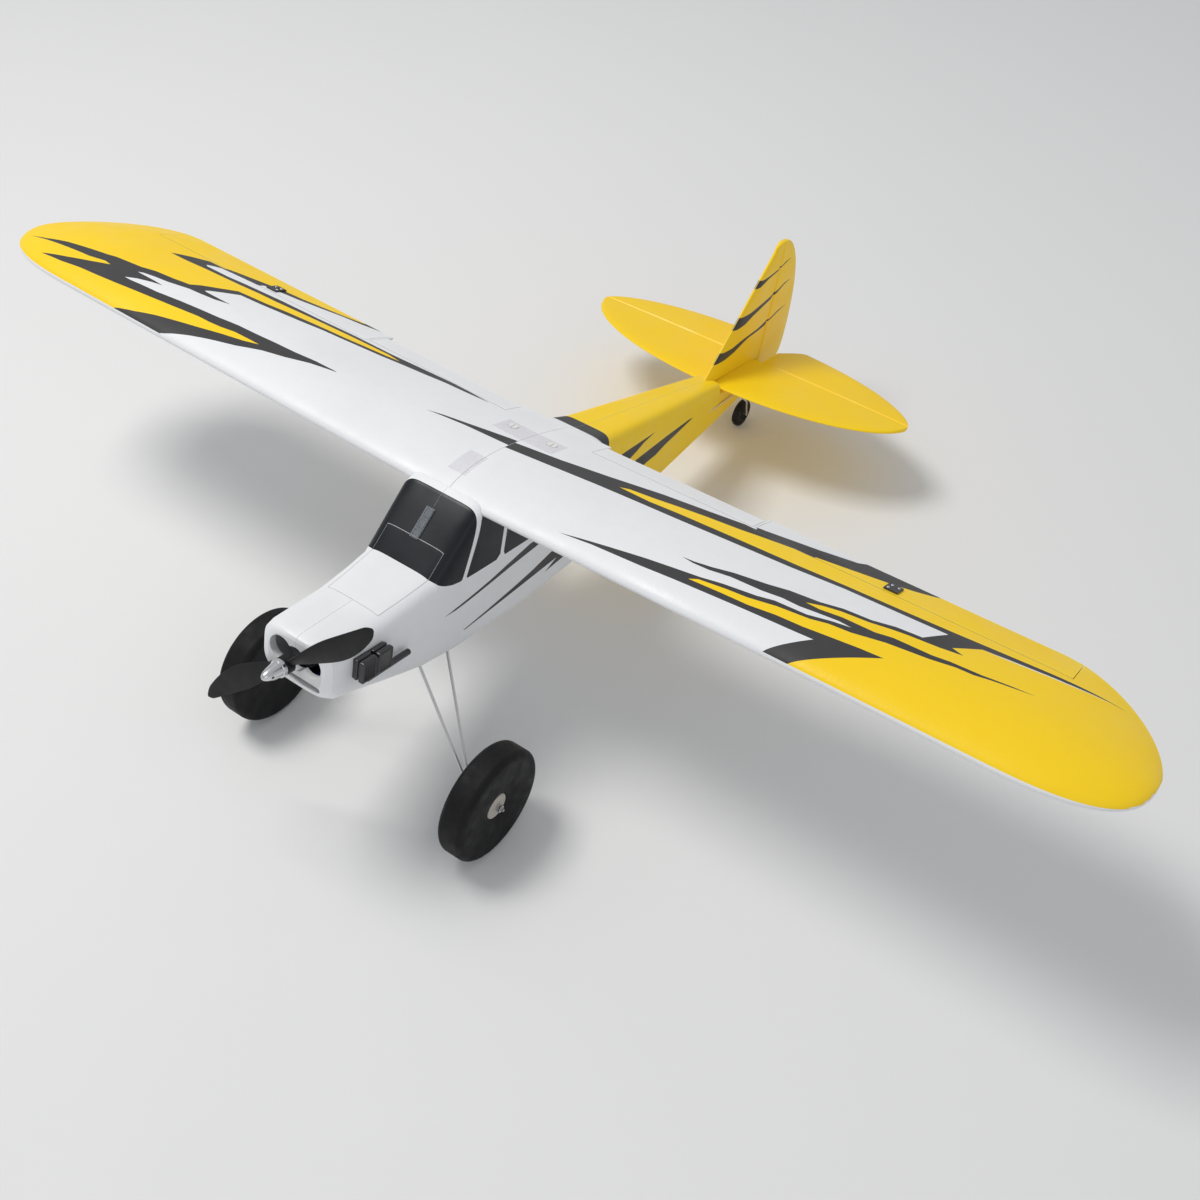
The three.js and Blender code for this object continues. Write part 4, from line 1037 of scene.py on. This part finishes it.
# ------------------------ clear tape over the wing joint
def tape(name, x0, x1, y0, y1):
    """A patch laid on the wing's top skin."""
    bm = bmesh.new()
    xs, ys = spread(x0, x1, 3), spread(y0, y1, 4)
    layers = []
    for rise in (0.32, 0.16):
        layers.append([[bm.verts.new((x, y, wing_skin(abs(x), y, True) + rise)) for y in ys]
                       for x in xs])
    top, under = layers
    for i in range(len(xs) - 1):
        for j in range(len(ys) - 1):
            bm.faces.new((top[i][j], top[i + 1][j], top[i + 1][j + 1], top[i][j + 1]))
            bm.faces.new((under[i][j], under[i][j + 1], under[i + 1][j + 1], under[i + 1][j]))
    border = [(i, 0) for i in range(len(xs))] + [(len(xs) - 1, j) for j in range(1, len(ys))]
    border += [(i, len(ys) - 1) for i in range(len(xs) - 2, -1, -1)]
    border += [(0, j) for j in range(len(ys) - 2, 0, -1)]
    for (i, j), (m, n) in zip(border, border[1:] + border[:1]):
        bm.faces.new((top[i][j], under[i][j], under[m][n], top[m][n]))
    piece(name, bm, [TAPE], "airframe", ())


tape("tape_front", -17, 3.5, 22, 56)
tape("tape_rear", -36, 36, 113, 143)

# ------------------------ clear catch on the windshield
SHIELD_SLOPE = math.atan2(52.4, 49)
LATCH_AT = Vector((-1, -28, -18.9))


def on_shield(bm, lift):
    """Moves a body drawn flat round the origin onto the windshield, at the catch."""
    bm.transform(Matrix.Translation(LATCH_AT) @ Matrix.Rotation(SHIELD_SLOPE, 4, "X")
                 @ Matrix.Translation((0, 0, lift)))
    return bm


def tray(y):
    """A small square tray of clear plastic with a raised rim."""
    rim = box(-4.2, 4.2, y - 4.6, y + 4.6, 0.6, 2.0)
    return boolean(rim, ("DIFFERENCE", box(-2.9, 2.9, y - 3.3, y + 3.3, 1.2, 3)))


trays = [("UNION", tray(y)) for y in (-10.6, 0, 10.6)]
catch = boolean(box(-5, 4.6, -16, 16, 0, 0.9), *trays)
piece("catch_plate", on_shield(catch, 0.5), [CLEAR], "latch", ["hatch_latch"],
      30, 0.3)


# ------------------------ screws in the horn plates
def dome(at, radius, height, sides=20):
    """A domed screw head with a cross slot."""
    rings = []
    for k in range(6):
        a = math.pi / 2 * k / 5.2
        rings.append([Vector((at[0] + radius * math.cos(a) * math.cos(t),
                              at[1] + radius * math.cos(a) * math.sin(t),
                              at[2] + height * math.sin(a)))
                      for t in (2 * math.pi * i / sides for i in range(sides))])
    head = ring_loft(rings)
    for wide, long in ((0.22, 2), (2, 0.22)):
        slot = box(at[0] - wide * radius, at[0] + wide * radius, at[1] - long * radius,
                   at[1] + long * radius, at[2] + height * 0.6, at[2] + height * 2)
        head = boolean(head, ("DIFFERENCE", slot))
    return head


for side, sign in (("left", 1), ("right", -1)):
    for number, (dx, dy) in enumerate(((-4, -4), (4, 3.5), (-3, 4.5))):
        x, y = HORN_X + dx, 166 + dy
        z = wing_skin(x, y, True) + 1.4 + GAP
        head = dome((x, y, z), 1.5, 0.9)
        head = head if side == "left" else mirrored(head)
        piece(f"horn_screw_{side}_{number + 1}", head, [ALUMINIUM], f"aileron_panel_{side}", (),
              30)

# ------------------------ finish of the CAD nodes
FINISH = {
    "black_plastic": PLATE_BLACK, "engine_plastic": ENGINE, "prop_plastic": BLADE_BLACK,
    "servo_case": CASE, "clear_plastic": CLEAR, "nylon": NYLON, "steel": STEEL,
    "aluminium": ALUMINIUM, "motor_black": BELL, "tyre_foam": TYRE, "hub_plastic": HUB,
    "blue_wrap": BLUE, "strap": STRAP, "plywood": WOOD, "carbon": PLATE_BLACK,
    "foam_white": WHITE, "foam_yellow": YELLOW}
EDGE_MM = {"engine_plastic": 0.9, "hub_plastic": 0.5, "blue_wrap": 1.2, "servo_case": 0.4,
           "black_plastic": 0.3, "clear_plastic": 0.25}
for entry in frame["record"]["subparts"]:
    node = nodes[entry["node"]]
    node.data.materials.clear()
    node.data.materials.append(FINISH[entry["material_slot"]])
    for polygon in node.data.polygons:
        polygon.use_smooth = True
    node.data.set_sharp_from_angle(angle=math.radians(35))
    width = EDGE_MM.get(entry["material_slot"], 0)
    if width:
        rounding = node.modifiers.new("edges", "BEVEL")
        rounding.width, rounding.segments = width / 1000, 2
        rounding.limit_method, rounding.angle_limit = "ANGLE", math.radians(40)

# ------------------------ floor, light and camera
floor_mesh = bmesh.new()
bmesh.ops.create_grid(floor_mesh, x_segments=2, y_segments=2, size=12)
floor_data = bpy.data.meshes.new("floor")
floor_mesh.to_mesh(floor_data)
floor = bpy.data.objects.new("floor", floor_data)
bpy.context.scene.collection.objects.link(floor)
ground = Paint("pale_floor", (0.8, 0.8, 0.8))
ground.mottle(1.5, 0.2, (0.77, 0.77, 0.77)).vary_rough(6, 0.7, 0.85)
floor_data.materials.append(ground.done())
floor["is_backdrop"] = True

world = bpy.data.worlds.new("studio")
bpy.context.scene.world = world
world.use_nodes = True
world.node_tree.nodes["Background"].inputs[0].default_value = (0.95, 0.97, 1, 1)
world.node_tree.nodes["Background"].inputs[1].default_value = 0.5


def soft_light(name, at, target, size, power, colour=(1, 1, 1)):
    data = bpy.data.lights.new(name, "AREA")
    data.size, data.energy, data.color = size, power, colour
    lamp = bpy.data.objects.new(name, data)
    lamp.location = at
    lamp.rotation_euler = (Vector(target) - Vector(at)).to_track_quat("-Z", "Y").to_euler()
    bpy.context.scene.collection.objects.link(lamp)


soft_light("key", (-1.4, -0.6, 3.2), (0, 0, 0.2), 1.2, 62, (1, 0.98, 0.95))
soft_light("fill", (3, -2.4, 2), (0, 0, 0.2), 2.5, 12)

CAMERA_AT = Vector((635.65, -879.69, 668.01))
CAMERA_RIGHT = Vector((0.8153356, 0.5544039, 0.1669256))
CAMERA_UP = Vector((-0.4383558, 0.4027364, 0.8035220))
CAMERA_BACK = Vector((0.3782487, -0.7283129, 0.5713915))
turn = LEVEL_TO_ROW.to_3x3()
lens = bpy.data.cameras.new("camera")
lens.sensor_width, lens.lens = 36, 41.25
camera = bpy.data.objects.new("camera", lens)
bpy.context.scene.collection.objects.link(camera)
columns = [turn @ CAMERA_RIGHT, turn @ CAMERA_UP, turn @ CAMERA_BACK]
camera.matrix_world = (Matrix.Translation(TO_ROW @ CAMERA_AT)
                       @ Matrix(columns).transposed().to_4x4())
bpy.context.scene.camera = camera
bpy.context.scene.view_settings.view_transform = "Standard"

low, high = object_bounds()
